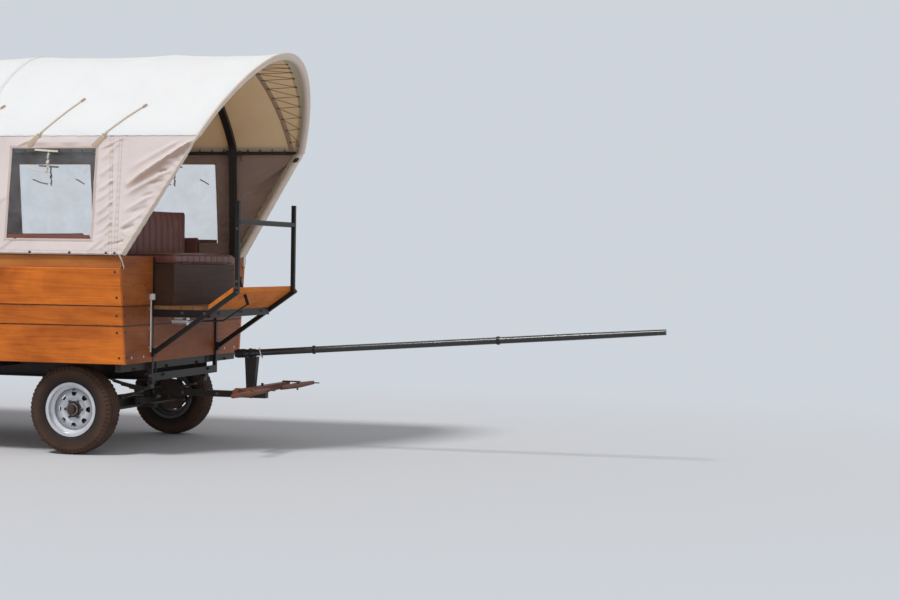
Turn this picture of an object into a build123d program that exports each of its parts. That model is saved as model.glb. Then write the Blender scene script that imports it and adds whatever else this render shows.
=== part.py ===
from build123d import *
from math import acos, asin, atan, atan2, cos, degrees, radians, sin, sqrt, tan
import os

os.makedirs("parts", exist_ok=True)

# Covered passenger wagon on four rubber tyres, in millimetres.
# +X points forward along the pole, +Y to the wagon's left, +Z up.
# The origin is on the ground, under the middle of the overall length.
# Heights are above the ground, and lengths named "ahead" start at the box's front face.

# Box
box_length = 4800.0
box_top_width = 2500.0
box_flare = 95.0            # each side leans out by this much from bottom to top
box_bottom_z = 708.0
plank_heights = (288.0, 150.0, 285.0)   # from the bottom plank up
plank_thickness = 32.0
plank_gap = 0.3
plank_bevel = 5.0
top_board_height = 92.0
top_board_setback = 24.0
floor_thickness = 36.0
seat_gap = 0.3              # soft or curved pieces lie this far off what carries them

# Canopy
hem_z = 1528.0
eave_z = 2440.0
eave_inset = 110.0          # the eave stands this far inside the box's top edge
roof_rise = 706.0           # from the eave to the ridge
crown_inset = 40.0          # the crown's radius is this much less than half the eave's width
crown_angle = 25.0
canvas_thickness = 6.0
hoop_foot_ahead = 4.0       # front edge of the canvas at the hem
hoop_eave_ahead = 580.0     # the same edge at the eave
hoop_ridge_ahead = 883.0    # the same edge at the ridge
bow_count = 5
bow_depth = 36.0            # the bows are flat bars, this thick and as wide as the stakes
hoop_tube = 36.0
bow_elbow_radius = 120.0
bow_elbow_lead = 3.47       # degrees before the eave where the roof's curve turns into the elbow
bow_foot_z = 1190.0
rail_tube = 27.0
clamp_length = 96.0
clamp_height = 46.0
clamp_thickness = 10.0
clamp_bolt_dia = 10.0
window_width = 700.0
window_sill_z = 1645.0
window_head_below_eave = 105.0
window_first_behind = 245.0
window_count = 4
window_ends = 40.0          # the box's length less this, shared out, is the windows' pitch
window_corner = 45.0
pane_lap = 18.0
pane_thickness = 2.0
doorway_width = 820.0
doorway_top_z = 2420.0

# Stakes that hold the planks and carry the bows
stake_width = 60.0
stake_thickness = 8.0

# Driver's platform
post_y = 640.0
post_size = 30.0
platform_half = 630.0
platform_reach = 470.0
platform_top_z = 1143.0
deck_thickness = 28.0
member_height = 60.0
member_width = 30.0
footboard_reach = 667.0
footboard_top_z = 1303.0
footboard_thickness = 30.0
dash_top_z = 1960.0
dash_bar_z = 1800.0
dash_tube = 32.0
dash_bar_tube = 42.0
strut_tube = 34.0
strut_foot_z = 780.0
strut_slope = 35.0          # degrees, and the footboard lies on it

# Seats
bench_depth = 400.0
bench_height = 420.0
bench_panel = 18.0
cushion_thickness = 60.0
bench_back_bottom_z = 1285.0
bench_back_top_z = 1690.0
bench_back_thickness = 45.0
locker_back_behind = 330.0
locker_front_ahead = 160.0
locker_top_z = 1465.0
driver_cushion_thickness = 90.0
driver_back_height = 430.0
driver_back_thickness = 60.0

# Chassis
rail_height = 150.0
rail_flange = 60.0
rail_web = 7.0
rail_y = 500.0
bearer_height = 60.0
bearer_width = 50.0
bearer_end_inset = 62.0     # the first and last bearer lie this far inside the box's ends
bearer_shares = (0.25625, 0.5042, 0.6875, 0.8667)   # the others, as shares of the box's length
cross_tube = 60.0
cross_tubes_behind = (1600.0, 2050.0)
cross_tube_before_axle = 860.0
hanger_height = 30.0
hanger_length = 46.0

# Axles, springs and steering
front_axle_behind = 512.0
rear_axle_ahead_of_rear = 1080.0
axle_bar = 70.0
track_inset = 650.0         # the wheels' track is the box's top width less this
kingpin_inset = 165.0       # from a wheel's middle in to its kingpin
spring_half = 450.0
spring_leaf = 9.0
spring_leaves = 5
spring_width = 60.0
spring_camber = 78.0
spring_eye = 24.0
kingpin_dia = 28.0
boss_dia = 66.0
boss_height = 90.0
yoke_plate = 16.0
running_clearance = 0.05
steer_arm = 160.0
steer_arm_thickness = 12.0
steer_arm_width = 46.0
steer_arm_neck = 24.0
tie_rod_width = 26.0
tie_rod_height = 16.0
joint_pin_dia = 16.0
head_pivot_ahead_of_axle = 77.0
head_pin_dia = 32.0
head_plate = 12.0
lift_axis_ahead = -320.0
lift_axis_z = 430.0
lift_pin_dia = 22.0

# Wheels
tyre_radius = 343.0
tyre_width = 205.0
tyre_wall = 11.0
rim_radius = 208.0
rim_half = 82.0
rim_sheet = 5.0
bead_radius = 190.0
well_radius = 166.0
disc_inset = 60.0           # from the rim's outer edge back to the disc
hub_radius = 46.0
hub_nose = 34.0
drum_radius = 128.0
drum_width = 52.0
drum_recess = 14.0          # from the hub's flange back to the drum's face
stub_dia = 44.0
disc_windows = 8
disc_window_circle = 119.0
disc_window_depth = 32.0
disc_window_wide = 54.0     # the side of a window next to the rim
disc_window_narrow = 24.0
lug_nuts = 6
lug_circle = 67.0
lug_size = 19.0
lug_height = 16.0

# Pole and hitch
pole_tip_ahead = 3900.0
pole_tail_ahead = 430.0
pole_tail_z = 754.0
pole_tip_z = 1010.0
pole_dia = 62.0
pole_tip_dia = 44.0
pole_pin_bore = 18.0
drawbar_height = 50.0
drawbar_width = 60.0
riser_ahead = 520.0
riser_foot_ahead = 536.0
riser_foot_length = 62.0
riser_length = 104.0
riser_thickness = 56.0
evener_ahead = 662.0
evener_length = 1150.0
evener_height = 50.0
evener_depth = 62.0
evener_z = 470.0
evener_pin_dia = 20.0
singletree_y = 520.0
singletree_ahead = 770.0
singletree_length = 750.0
singletree_dia = 46.0
link_thickness = 10.0
link_width = 40.0
trace_hole_dia = 16.0

# Rear door and steps
door_width = 780.0
door_gap = 6.0
hinge_pin_dia = 14.0
step_reach = 330.0
step_width = 620.0
step_tread = 30.0
step_run = 150.0            # from one tread's rear edge to the next one's
step_depth = 230.0
step_plate_below = 50.0     # the side plates reach this far below the lower tread's top
step_tops = (500.0, 290.0)

# Values worked out from the ones above
front = ((box_length + step_reach) - pole_tip_ahead) / 2   # X of the box's front face
floor_top_z = box_bottom_z + floor_thickness
plank_top_z = box_bottom_z + sum(plank_heights)
top_board_z = plank_top_z + top_board_height
rail_bottom_z = box_bottom_z - rail_height
half_top = box_top_width / 2
eave_half = half_top - eave_inset
ridge_z = eave_z + roof_rise
crown_radius = eave_half - crown_inset
window_height = eave_z - window_head_below_eave - window_sill_z
window_pitch = (box_length - window_ends) / window_count
rear_axle_behind = box_length - rear_axle_ahead_of_rear
track = box_top_width - track_inset
kingpin_y = track / 2 - kingpin_inset
wheel_z = tyre_radius
post_inner = post_y - post_size / 2
post_outer = post_y + post_size / 2
bow_first_behind = plank_thickness + seat_gap + stake_width / 2
bow_last_behind = box_length - bow_first_behind
canvas_slope_low = (hoop_eave_ahead - hoop_foot_ahead) / (eave_z - hem_z)
canvas_slope_high = (hoop_ridge_ahead - hoop_eave_ahead) / (ridge_z - eave_z)
bow_pitch = (bow_last_behind - bow_first_behind) / (bow_count - 1)
bows_behind = [bow_first_behind + bow_pitch * n for n in range(bow_count)]
sides = (("left", 1), ("right", -1))


def wall_y(z, inside=0.0):
    """Half width of the box's outer face at height z, less a depth inside."""
    rise = (z - box_bottom_z) / (plank_top_z - box_bottom_z)
    return half_top - box_flare * (1 - rise) - inside


def haunch(rise, radius, angle):
    """Radius and end angle of the arc that runs from the crown arc to the eave."""
    a = radians(angle)
    dy = eave_half - radius * sin(a)
    dz = rise - radius * (1 - cos(a))
    end = 2 * atan(dz / dy) - a
    return dy / (sin(end) - sin(a)), degrees(end)


def arch_point(angle, inset, top, radius, split, side_radius):
    """Point on the roof's section, inset from the canvas's inner face, at a tangent angle."""
    a, b = radians(angle), radians(split)
    if angle <= split:
        return (radius - inset) * sin(a), top - radius + (radius - inset) * cos(a)
    cy = (radius - side_radius) * sin(b)
    cz = top - radius + (radius - side_radius) * cos(b)
    return cy + (side_radius - inset) * sin(a), cz + (side_radius - inset) * cos(a)


inner_top = ridge_z - canvas_thickness
haunch_radius, eave_angle = haunch(inner_top - eave_z, crown_radius, crown_angle)
bow_elbow_start = eave_angle - bow_elbow_lead


def roof_point(angle, inset):
    """Point of the upright roof section, with a negative angle on the right side."""
    y, z = arch_point(abs(angle), inset, inner_top, crown_radius, crown_angle, haunch_radius)
    return (y if angle >= 0 else -y), z


def arcs_through(points):
    """Draw arcs through points taken as start, middle, end, middle, end and so on."""
    for n in range(0, len(points) - 2, 2):
        ThreePointArc(points[n], points[n + 1], points[n + 2])


# Floor boards, one deck between the side planks, the rear boards and the low front panel
panel_depth = plank_thickness + post_size / 2
floor_length = box_length - plank_thickness - panel_depth - 2 * seat_gap
with BuildPart() as floor:
    with BuildSketch(Plane.YZ.offset(front - box_length + plank_thickness + seat_gap)):
        with BuildLine():
            low = wall_y(box_bottom_z, plank_thickness + seat_gap)
            high = wall_y(floor_top_z, plank_thickness + seat_gap)
            Polyline(
                (-low, box_bottom_z), (low, box_bottom_z), (high, floor_top_z),
                (-high, floor_top_z), close=True,
            )
        make_face()
    extrude(amount=floor_length)
floor.part.label = "floor"
export_step(floor.part, "parts/floor.step")

# Side planks: three a side, each with bevelled edges that show as a dark seam
for name, side in sides:
    with BuildPart() as side_planks:
        foot = box_bottom_z
        for height in plank_heights:
            head = foot + height - plank_gap
            with BuildSketch(Plane.YZ.offset(front - box_length)):
                with BuildLine():
                    Polyline(
                        (side * wall_y(foot, plank_thickness), foot),
                        (side * wall_y(foot, plank_bevel), foot),
                        (side * wall_y(foot + plank_bevel), foot + plank_bevel),
                        (side * wall_y(head - plank_bevel), head - plank_bevel),
                        (side * wall_y(head, plank_bevel), head),
                        (side * wall_y(head, plank_thickness), head),
                        close=True,
                    )
                make_face()
            extrude(amount=box_length)
            foot += height
    side_planks.part.label = f"side_planks_{name}"
    export_step(side_planks.part, f"parts/side_planks_{name}.step")

# Top boards: a narrower board on each side, set back from the planks
with BuildPart() as top_boards:
    for name, side in sides:
        outer = half_top - top_board_setback
        with BuildSketch(Plane.XY.offset(plank_top_z)):
            with Locations((front - box_length / 2, side * (outer - plank_thickness / 2))):
                Rectangle(box_length, plank_thickness)
        extrude(amount=top_board_height)
top_boards.part.label = "top_boards"
export_step(top_boards.part, "parts/top_boards.step")

# Front boards: two corner sections beside the driver's opening and a low panel between the posts
corner_outer = half_top - top_board_setback - plank_thickness - seat_gap
with BuildPart() as front_boards:
    foot = box_bottom_z
    for height in plank_heights:
        head = foot + height - plank_gap
        for side in (1, -1):
            with BuildSketch(Plane.YZ.offset(front - plank_thickness)):
                with BuildLine():
                    inner = side * (post_outer + seat_gap)
                    Polyline(
                        (inner, foot),
                        (side * wall_y(foot, plank_thickness + seat_gap), foot),
                        (side * wall_y(head, plank_thickness + seat_gap), head),
                        (inner, head),
                        close=True,
                    )
                make_face()
            extrude(amount=plank_thickness)
        foot += height
    with BuildSketch(Plane.YZ.offset(front - plank_thickness)):
        for side in (1, -1):
            with Locations((side * (post_outer + seat_gap + corner_outer) / 2, foot + top_board_height / 2)):
                Rectangle(corner_outer - post_outer - seat_gap, top_board_height)
    extrude(amount=plank_thickness)
    panel_top = platform_top_z - deck_thickness - member_height - seat_gap
    with BuildSketch(Plane.YZ.offset(front - panel_depth)):
        with Locations((0, (box_bottom_z + panel_top) / 2)):
            Rectangle(2 * (post_inner - seat_gap), panel_top - box_bottom_z)
    extrude(amount=plank_thickness)
front_boards.part.label = "front_boards"
export_step(front_boards.part, "parts/front_boards.step")

# Rear boards: planks and a narrower top board on each side of the doorway
with BuildPart() as rear_boards:
    foot = box_bottom_z
    for height in plank_heights:
        head = foot + height - plank_gap
        for side in (1, -1):
            with BuildSketch(Plane.YZ.offset(front - box_length)):
                with BuildLine():
                    inner = side * doorway_width / 2
                    Polyline(
                        (inner, foot),
                        (side * wall_y(foot, plank_thickness + seat_gap), foot),
                        (side * wall_y(head, plank_thickness + seat_gap), head),
                        (inner, head),
                        close=True,
                    )
                make_face()
            extrude(amount=plank_thickness)
        foot += height
    with BuildSketch(Plane.YZ.offset(front - box_length)):
        for side in (1, -1):
            with Locations((side * (doorway_width / 2 + corner_outer) / 2, foot + top_board_height / 2)):
                Rectangle(corner_outer - doorway_width / 2, top_board_height)
    extrude(amount=plank_thickness)
rear_boards.part.label = "rear_boards"
export_step(rear_boards.part, "parts/rear_boards.step")

# Stakes: flat steel uprights inside the planks, one under each bow
with BuildPart() as stakes:
    for side in (1, -1):
        for behind in bows_behind:
            with BuildSketch(Plane.YZ.offset(front - behind - stake_width / 2)):
                with BuildLine():
                    near = plank_thickness + seat_gap
                    far = near + stake_thickness
                    foot = floor_top_z + seat_gap
                    head = plank_top_z
                    Polyline(
                        (side * wall_y(foot, near), foot),
                        (side * wall_y(head, near), head),
                        (side * wall_y(head, far), head),
                        (side * wall_y(foot, far), foot),
                        close=True,
                    )
                make_face()
            extrude(amount=stake_width)
stakes.part.label = "stakes"
export_step(stakes.part, "parts/stakes.step")

# Bows: flat bars bent over the box, with legs that stand against the stakes
bow_inset = bow_depth / 2 + seat_gap
side_r = haunch_radius - bow_inset
side_cy = (crown_radius - haunch_radius) * sin(radians(crown_angle))
side_cz = inner_top - crown_radius + (crown_radius - haunch_radius) * cos(radians(crown_angle))
elbow_cy = side_cy + (side_r - bow_elbow_radius) * sin(radians(bow_elbow_start))
elbow_cz = side_cz + (side_r - bow_elbow_radius) * cos(radians(bow_elbow_start))
leg_foot = (
    wall_y(bow_foot_z, plank_thickness + stake_thickness + 2 * seat_gap) - bow_depth / 2,
    bow_foot_z,
)


def elbow_point(angle):
    """Point on the bow's elbow below the eave."""
    a = radians(angle)
    return elbow_cy + bow_elbow_radius * sin(a), elbow_cz + bow_elbow_radius * cos(a)


# The leg is the tangent from its foot to the elbow
foot_angle = atan2(leg_foot[0] - elbow_cy, leg_foot[1] - elbow_cz)
foot_reach = sqrt((leg_foot[0] - elbow_cy) ** 2 + (leg_foot[1] - elbow_cz) ** 2)
leg_normal = degrees(foot_angle - acos(bow_elbow_radius / foot_reach))
leg_top = elbow_point(leg_normal)


def leg_y(z):
    """Distance of a leg's centre line from the middle at height z."""
    share = (z - leg_foot[1]) / (leg_top[1] - leg_foot[1])
    return leg_foot[0] + (leg_top[0] - leg_foot[0]) * share


half_path = [
    roof_point(0, bow_inset), roof_point(crown_angle / 2, bow_inset),
    roof_point(crown_angle, bow_inset),
    roof_point((crown_angle + bow_elbow_start) / 2, bow_inset), roof_point(bow_elbow_start, bow_inset),
    elbow_point((bow_elbow_start + leg_normal) / 2), leg_top,
]
with BuildPart() as bows:
    for behind in bows_behind:
        for side in (1, -1):
            with BuildLine(Plane.YZ.offset(front - behind)) as bow_path:
                arcs_through([(side * y, z) for y, z in half_path])
                Line((side * leg_top[0], leg_top[1]), (side * leg_foot[0], leg_foot[1]))
            with BuildSketch(Plane(origin=bow_path.line @ 0, x_dir=(1, 0, 0), z_dir=bow_path.line % 0)):
                Rectangle(stake_width, bow_depth)
            sweep(path=bow_path.line)
bows.part.label = "bows"
export_step(bows.part, "parts/bows.step")

# Front hoop: leans forward in two steps, legs up to the eave and a steeper arch above it
high_lean = atan(canvas_slope_high)
low_lean = atan(canvas_slope_low)
hoop_clearance = 6.0
hoop_weld = 1.5
hoop_inset = hoop_tube / 2 + hoop_clearance
stretch = 1 / cos(high_lean)
hoop_crown = crown_radius / stretch
hoop_split = degrees(atan(tan(radians(crown_angle)) * stretch))
hoop_rise = (inner_top - eave_z) * stretch
hoop_side_radius, hoop_eave_angle = haunch(hoop_rise, hoop_crown, hoop_split)
hoop_plane = Plane(
    origin=(front + hoop_eave_ahead - hoop_inset, 0, eave_z),
    x_dir=(0, 1, 0),
    z_dir=(cos(high_lean), 0, -sin(high_lean)),
)


def hoop_point(angle):
    """Point of the leaning hoop's centre line, in its own plane."""
    return arch_point(angle, hoop_inset, hoop_rise, hoop_crown, hoop_split, hoop_side_radius)


hoop_path = [
    hoop_point(0), hoop_point(hoop_split / 2), hoop_point(hoop_split),
    hoop_point((hoop_split + hoop_eave_angle) / 2), hoop_point(hoop_eave_angle),
]
hoop_plate = (56.0, 44.0, 19.0)
hoop_plate_y = half_top - top_board_setback - plank_thickness
hoop_foot = (front + hoop_foot_ahead - hoop_inset, hoop_plate_y - 24.0, top_board_z + 24.0)
with BuildPart() as front_hoop:
    for side in (1, -1):
        with BuildLine(hoop_plane) as hoop_line:
            arcs_through([(side * y, z) for y, z in hoop_path])
        with BuildSketch(Plane(origin=hoop_line.line @ 0, z_dir=hoop_line.line % 0)):
            Circle(hoop_tube / 2)
        sweep(path=hoop_line.line)
        eave_corner = hoop_plane.from_local_coords(Vector(side * hoop_path[-1][0], hoop_path[-1][1], 0))
        foot_corner = Vector(hoop_foot[0], side * hoop_foot[1], hoop_foot[2])
        with Locations(eave_corner):
            Sphere(hoop_tube / 2 + hoop_weld)
        leg_way = foot_corner - eave_corner
        with BuildSketch(Plane(origin=eave_corner, z_dir=leg_way)):
            Circle(hoop_tube / 2)
        extrude(amount=leg_way.length)
        with BuildSketch(Plane.XY.offset(top_board_z + seat_gap)):
            with Locations((hoop_foot[0], side * hoop_plate_y)):
                Rectangle(hoop_plate[0], hoop_plate[1])
        extrude(amount=hoop_plate[2])
front_hoop.part.label = "front_hoop"
export_step(front_hoop.part, "parts/front_hoop.step")

# Eave rails: tubes clamped to the outside of the bows' legs, back of the hoop's corner
rail_z_centre = eave_z - rail_tube / 2 - 2.0
rail_y_centre = leg_y(rail_z_centre) + ((bow_depth + rail_tube) / 2 + seat_gap) / sin(radians(leg_normal))
rail_end_x = eave_corner.X - hoop_tube / 2 / cos(low_lean) - rail_tube * tan(low_lean) - seat_gap
rail_start_x = front - bow_last_behind - clamp_length / 2
clamp_reach = (bow_depth + rail_tube) / 2 + bow_depth / 2 + 2 * seat_gap + clamp_thickness
clamp_bolt_offset = (stake_width + clamp_bolt_dia) / 2 + 3.0
with BuildPart() as eave_rails:
    for side in (1, -1):
        with BuildSketch(Plane.YZ.offset(rail_start_x)):
            with Locations((side * rail_y_centre, rail_z_centre)):
                Circle(rail_tube / 2)
        extrude(amount=rail_end_x - rail_start_x)
        # At each bow a plate inside the leg, with a bolt on either side of it to the rail
        leg_out = Vector(0, side * sin(radians(leg_normal)), cos(radians(leg_normal)))
        for behind in bows_behind:
            clamp_place = Vector(front - behind, side * rail_y_centre, rail_z_centre) - leg_out * clamp_reach
            clamp_plane = Plane(origin=clamp_place, x_dir=(1, 0, 0), z_dir=leg_out)
            with BuildSketch(clamp_plane):
                Rectangle(clamp_length, clamp_height)
            extrude(amount=clamp_thickness)
            with BuildSketch(clamp_plane):
                with Locations((clamp_bolt_offset, 0), (-clamp_bolt_offset, 0)):
                    Circle(clamp_bolt_dia / 2)
            extrude(amount=clamp_reach)
eave_rails.part.label = "eave_rails"
export_step(eave_rails.part, "parts/eave_rails.step")

# Roof canvas: one arched sheet, with its front edge cut to the hoop's lean
with BuildPart() as roof_canvas:
    with BuildSketch(Plane.YZ.offset(front - box_length)):
        with BuildLine():
            for inset in (0.0, -canvas_thickness):
                for side in (1, -1):
                    half = [
                        roof_point(angle, inset) for angle in
                        (0, crown_angle / 2, crown_angle, (crown_angle + eave_angle) / 2, eave_angle)
                    ]
                    arcs_through([(side * y, z) for y, z in half])
            for side in (1, -1):
                low_in = roof_point(eave_angle, 0.0)
                low_out = roof_point(eave_angle, -canvas_thickness)
                Line((side * low_in[0], low_in[1]), (side * low_out[0], low_out[1]))
        make_face()
    extrude(amount=box_length + hoop_ridge_ahead + 50.0)
    cut_plane = Plane(
        origin=(front + hoop_eave_ahead, 0, eave_z),
        z_dir=(cos(high_lean), 0, -sin(high_lean)),
    )
    split(bisect_by=cut_plane, keep=Keep.BOTTOM)
roof_canvas.part.label = "roof_canvas"
export_step(roof_canvas.part, "parts/roof_canvas.step")

# Side curtains and window panes: flat sheets from the hem up to the outside of the eave rail
curtain_foot_y = half_top - canvas_thickness
rail_reach = sqrt((curtain_foot_y - rail_y_centre) ** 2 + (rail_z_centre - hem_z) ** 2)
rail_bearing = atan2(curtain_foot_y - rail_y_centre, rail_z_centre - hem_z)
curtain_lean = rail_bearing - asin((rail_tube / 2 + seat_gap) / rail_reach)
curtain_run = (eave_z - 2.0 - hem_z) / cos(curtain_lean)


def curtain_plane(side, inside):
    """Plane on the curtain's inner face, X forward and Y up the slope, moved inwards."""
    out = Vector(0, side * cos(curtain_lean), sin(curtain_lean))
    origin = Vector(front, side * curtain_foot_y, hem_z) - out * inside
    up = Vector(0, -side * sin(curtain_lean), cos(curtain_lean))
    return Plane(origin=origin, x_dir=up.cross(out), z_dir=out)


def window_places(side):
    """Centres of the windows on the curtain's own plane."""
    up = (window_sill_z + window_height / 2 - hem_z) / cos(curtain_lean)
    ahead = [-window_first_behind - window_width / 2 - window_pitch * n for n in range(window_count)]
    return [(side_x(side, x), up) for x in ahead]


def side_x(side, ahead):
    """Distance along the curtain plane's X for a distance ahead of the box's front."""
    return -side * ahead


for name, side in sides:
    with BuildPart() as curtain:
        with BuildSketch(curtain_plane(side, 0.0)):
            with BuildLine():
                Polyline(
                    (side_x(side, -box_length), 0),
                    (side_x(side, hoop_foot_ahead), 0),
                    (side_x(side, hoop_eave_ahead), curtain_run),
                    (side_x(side, -box_length), curtain_run),
                    close=True,
                )
            make_face()
            with Locations(*window_places(side)):
                RectangleRounded(window_width, window_height, window_corner, mode=Mode.SUBTRACT)
        extrude(amount=canvas_thickness)
    curtain.part.label = f"curtain_{name}"
    export_step(curtain.part, f"parts/curtain_{name}.step")

with BuildPart() as window_panes:
    for name, side in sides:
        with BuildSketch(curtain_plane(side, pane_thickness + seat_gap)):
            with Locations(*window_places(side)):
                RectangleRounded(window_width + 2 * pane_lap, window_height + 2 * pane_lap, window_corner)
        extrude(amount=pane_thickness)
window_panes.part.label = "window_panes"
export_step(window_panes.part, "parts/window_panes.step")

# Rear curtain: closes the canopy's rear end, with an open doorway above the door
rear_curtain_foot = curtain_foot_y - 2 * seat_gap
rear_curtain_top = curtain_foot_y - tan(curtain_lean) * (eave_z - hem_z) - 2 * seat_gap
rear_end_angle = degrees(asin((rear_curtain_top - side_cy) / (haunch_radius - seat_gap)))
rear_curtain_head = roof_point(rear_end_angle, seat_gap)
with BuildPart() as rear_curtain:
    with BuildSketch(Plane.YZ.offset(front - box_length + seat_gap)):
        with BuildLine():
            for side in (1, -1):
                half = [
                    roof_point(angle, seat_gap) for angle in
                    (0, crown_angle / 2, crown_angle, (crown_angle + rear_end_angle) / 2, rear_end_angle)
                ]
                arcs_through([(side * y, z) for y, z in half])
                Line((side * rear_curtain_head[0], rear_curtain_head[1]), (side * rear_curtain_foot, hem_z))
            Line((-rear_curtain_foot, hem_z), (rear_curtain_foot, hem_z))
        make_face()
        with Locations((0, (hem_z + doorway_top_z) / 2)):
            Rectangle(doorway_width, doorway_top_z - hem_z, mode=Mode.SUBTRACT)
    extrude(amount=canvas_thickness)
rear_curtain.part.label = "rear_curtain"
export_step(rear_curtain.part, "parts/rear_curtain.step")

# Passenger benches: a long locker on each side, made of a front panel, a seat board and two ends
bench_rear = front - box_length + plank_thickness + 20.0
bench_front = front - locker_back_behind - 40.0
bench_length = bench_front - bench_rear
bench_top_z = floor_top_z + bench_height
bench_wall_y = wall_y(floor_top_z, plank_thickness + stake_thickness) - 8.0
bench_inner_y = bench_wall_y - bench_depth
with BuildPart() as bench_frames:
    for side in (1, -1):
        with BuildSketch(Plane.YZ.offset(bench_rear)):
            with BuildLine():
                Polyline(
                    (side * bench_inner_y, floor_top_z + seat_gap),
                    (side * (bench_inner_y + bench_panel), floor_top_z + seat_gap),
                    (side * (bench_inner_y + bench_panel), bench_top_z - bench_panel),
                    (side * bench_wall_y, bench_top_z - bench_panel),
                    (side * bench_wall_y, bench_top_z),
                    (side * bench_inner_y, bench_top_z),
                    close=True,
                )
            make_face()
        extrude(amount=bench_length)
        for end in (bench_rear, bench_front - bench_panel):
            with BuildSketch(Plane.YZ.offset(end)):
                with Locations((
                    side * (bench_inner_y + bench_wall_y) / 2,
                    (floor_top_z + seat_gap + bench_top_z) / 2,
                )):
                    Rectangle(bench_wall_y - bench_inner_y, bench_top_z - floor_top_z - seat_gap)
            extrude(amount=bench_panel)
bench_frames.part.label = "bench_frames"
export_step(bench_frames.part, "parts/bench_frames.step")

# Bench cushions: a seat pad and a back pad along each side
back_outer = leg_y(bench_back_top_z) - bow_depth / 2 / sin(radians(leg_normal)) - seat_gap
with BuildPart() as bench_cushions:
    for side in (1, -1):
        with BuildSketch(Plane.XY.offset(bench_top_z + seat_gap)):
            with Locations((
                bench_rear + bench_length / 2,
                side * (bench_inner_y + (bench_depth - bench_back_thickness) / 2),
            )):
                Rectangle(bench_length, bench_depth - bench_back_thickness - 6.0)
        extrude(amount=cushion_thickness)
        with BuildSketch(Plane.XY.offset(bench_back_bottom_z)):
            with Locations((bench_rear + bench_length / 2, side * (back_outer - bench_back_thickness / 2))):
                Rectangle(bench_length, bench_back_thickness)
        extrude(amount=bench_back_top_z - bench_back_bottom_z)
bench_cushions.part.label = "bench_cushions"
export_step(bench_cushions.part, "parts/bench_cushions.step")

# Driver's locker: a box of panels that carries the driver's seat, stepped over the deck's edge
locker_half = post_inner - 12.0
locker_rear = front - locker_back_behind
locker_front = front + locker_front_ahead
with BuildPart() as driver_locker:
    with BuildSketch(Plane.XY.offset(locker_top_z - bench_panel)):
        with Locations(((locker_rear + locker_front) / 2, 0)):
            Rectangle(locker_front - locker_rear, 2 * locker_half)
    extrude(amount=bench_panel)
    with BuildSketch(Plane.YZ.offset(locker_rear)):
        with Locations((0, (floor_top_z + seat_gap + locker_top_z) / 2)):
            Rectangle(2 * locker_half, locker_top_z - floor_top_z - seat_gap)
    extrude(amount=bench_panel)
    with BuildSketch(Plane.YZ.offset(locker_front - bench_panel)):
        with Locations((0, (platform_top_z + seat_gap + locker_top_z) / 2)):
            Rectangle(2 * locker_half, locker_top_z - platform_top_z - seat_gap)
    extrude(amount=bench_panel)
    for side in (1, -1):
        with BuildSketch(Plane.XZ.offset(-side * (locker_half - bench_panel / 2) - bench_panel / 2)):
            with BuildLine():
                Polyline(
                    (locker_rear, floor_top_z + seat_gap),
                    (front - panel_depth - seat_gap, floor_top_z + seat_gap),
                    (front - panel_depth - seat_gap, platform_top_z + seat_gap),
                    (locker_front, platform_top_z + seat_gap),
                    (locker_front, locker_top_z),
                    (locker_rear, locker_top_z),
                    close=True,
                )
            make_face()
        extrude(amount=bench_panel)
driver_locker.part.label = "driver_locker"
export_step(driver_locker.part, "parts/driver_locker.step")

# Driver's seat: a seat pad on the locker and a back pad standing on its rear edge
with BuildPart() as driver_cushions:
    with BuildSketch(Plane.XY.offset(locker_top_z + seat_gap)):
        with Locations((
            (locker_rear + driver_back_thickness + 6.0 + locker_front) / 2, 0,
        )):
            Rectangle(locker_front - locker_rear - driver_back_thickness - 6.0, 2 * locker_half - 20.0)
    extrude(amount=driver_cushion_thickness)
    with BuildSketch(Plane.XY.offset(locker_top_z + seat_gap)):
        with Locations((locker_rear + driver_back_thickness / 2, 0)):
            Rectangle(driver_back_thickness, 2 * locker_half - 20.0)
    extrude(amount=driver_back_height)
driver_cushions.part.label = "driver_cushions"
export_step(driver_cushions.part, "parts/driver_cushions.step")

# Platform frame: two posts on the box's front, side members, a front member and two struts
deck_bottom_z = platform_top_z - deck_thickness
member_bottom_z = deck_bottom_z - member_height
strut_y = platform_half + seat_gap + strut_tube / 2
strut_foot_x = front + 14.0
strut_rise = tan(radians(strut_slope))
strut_head_x = front + footboard_reach + dash_tube
strut_way = Vector(cos(radians(strut_slope)), 0, sin(radians(strut_slope)))
strut_length = (strut_head_x - strut_foot_x) / cos(radians(strut_slope))


def strut_z(x):
    """Height of the strut's centre line at X."""
    return strut_foot_z + (x - strut_foot_x) * strut_rise


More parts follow.
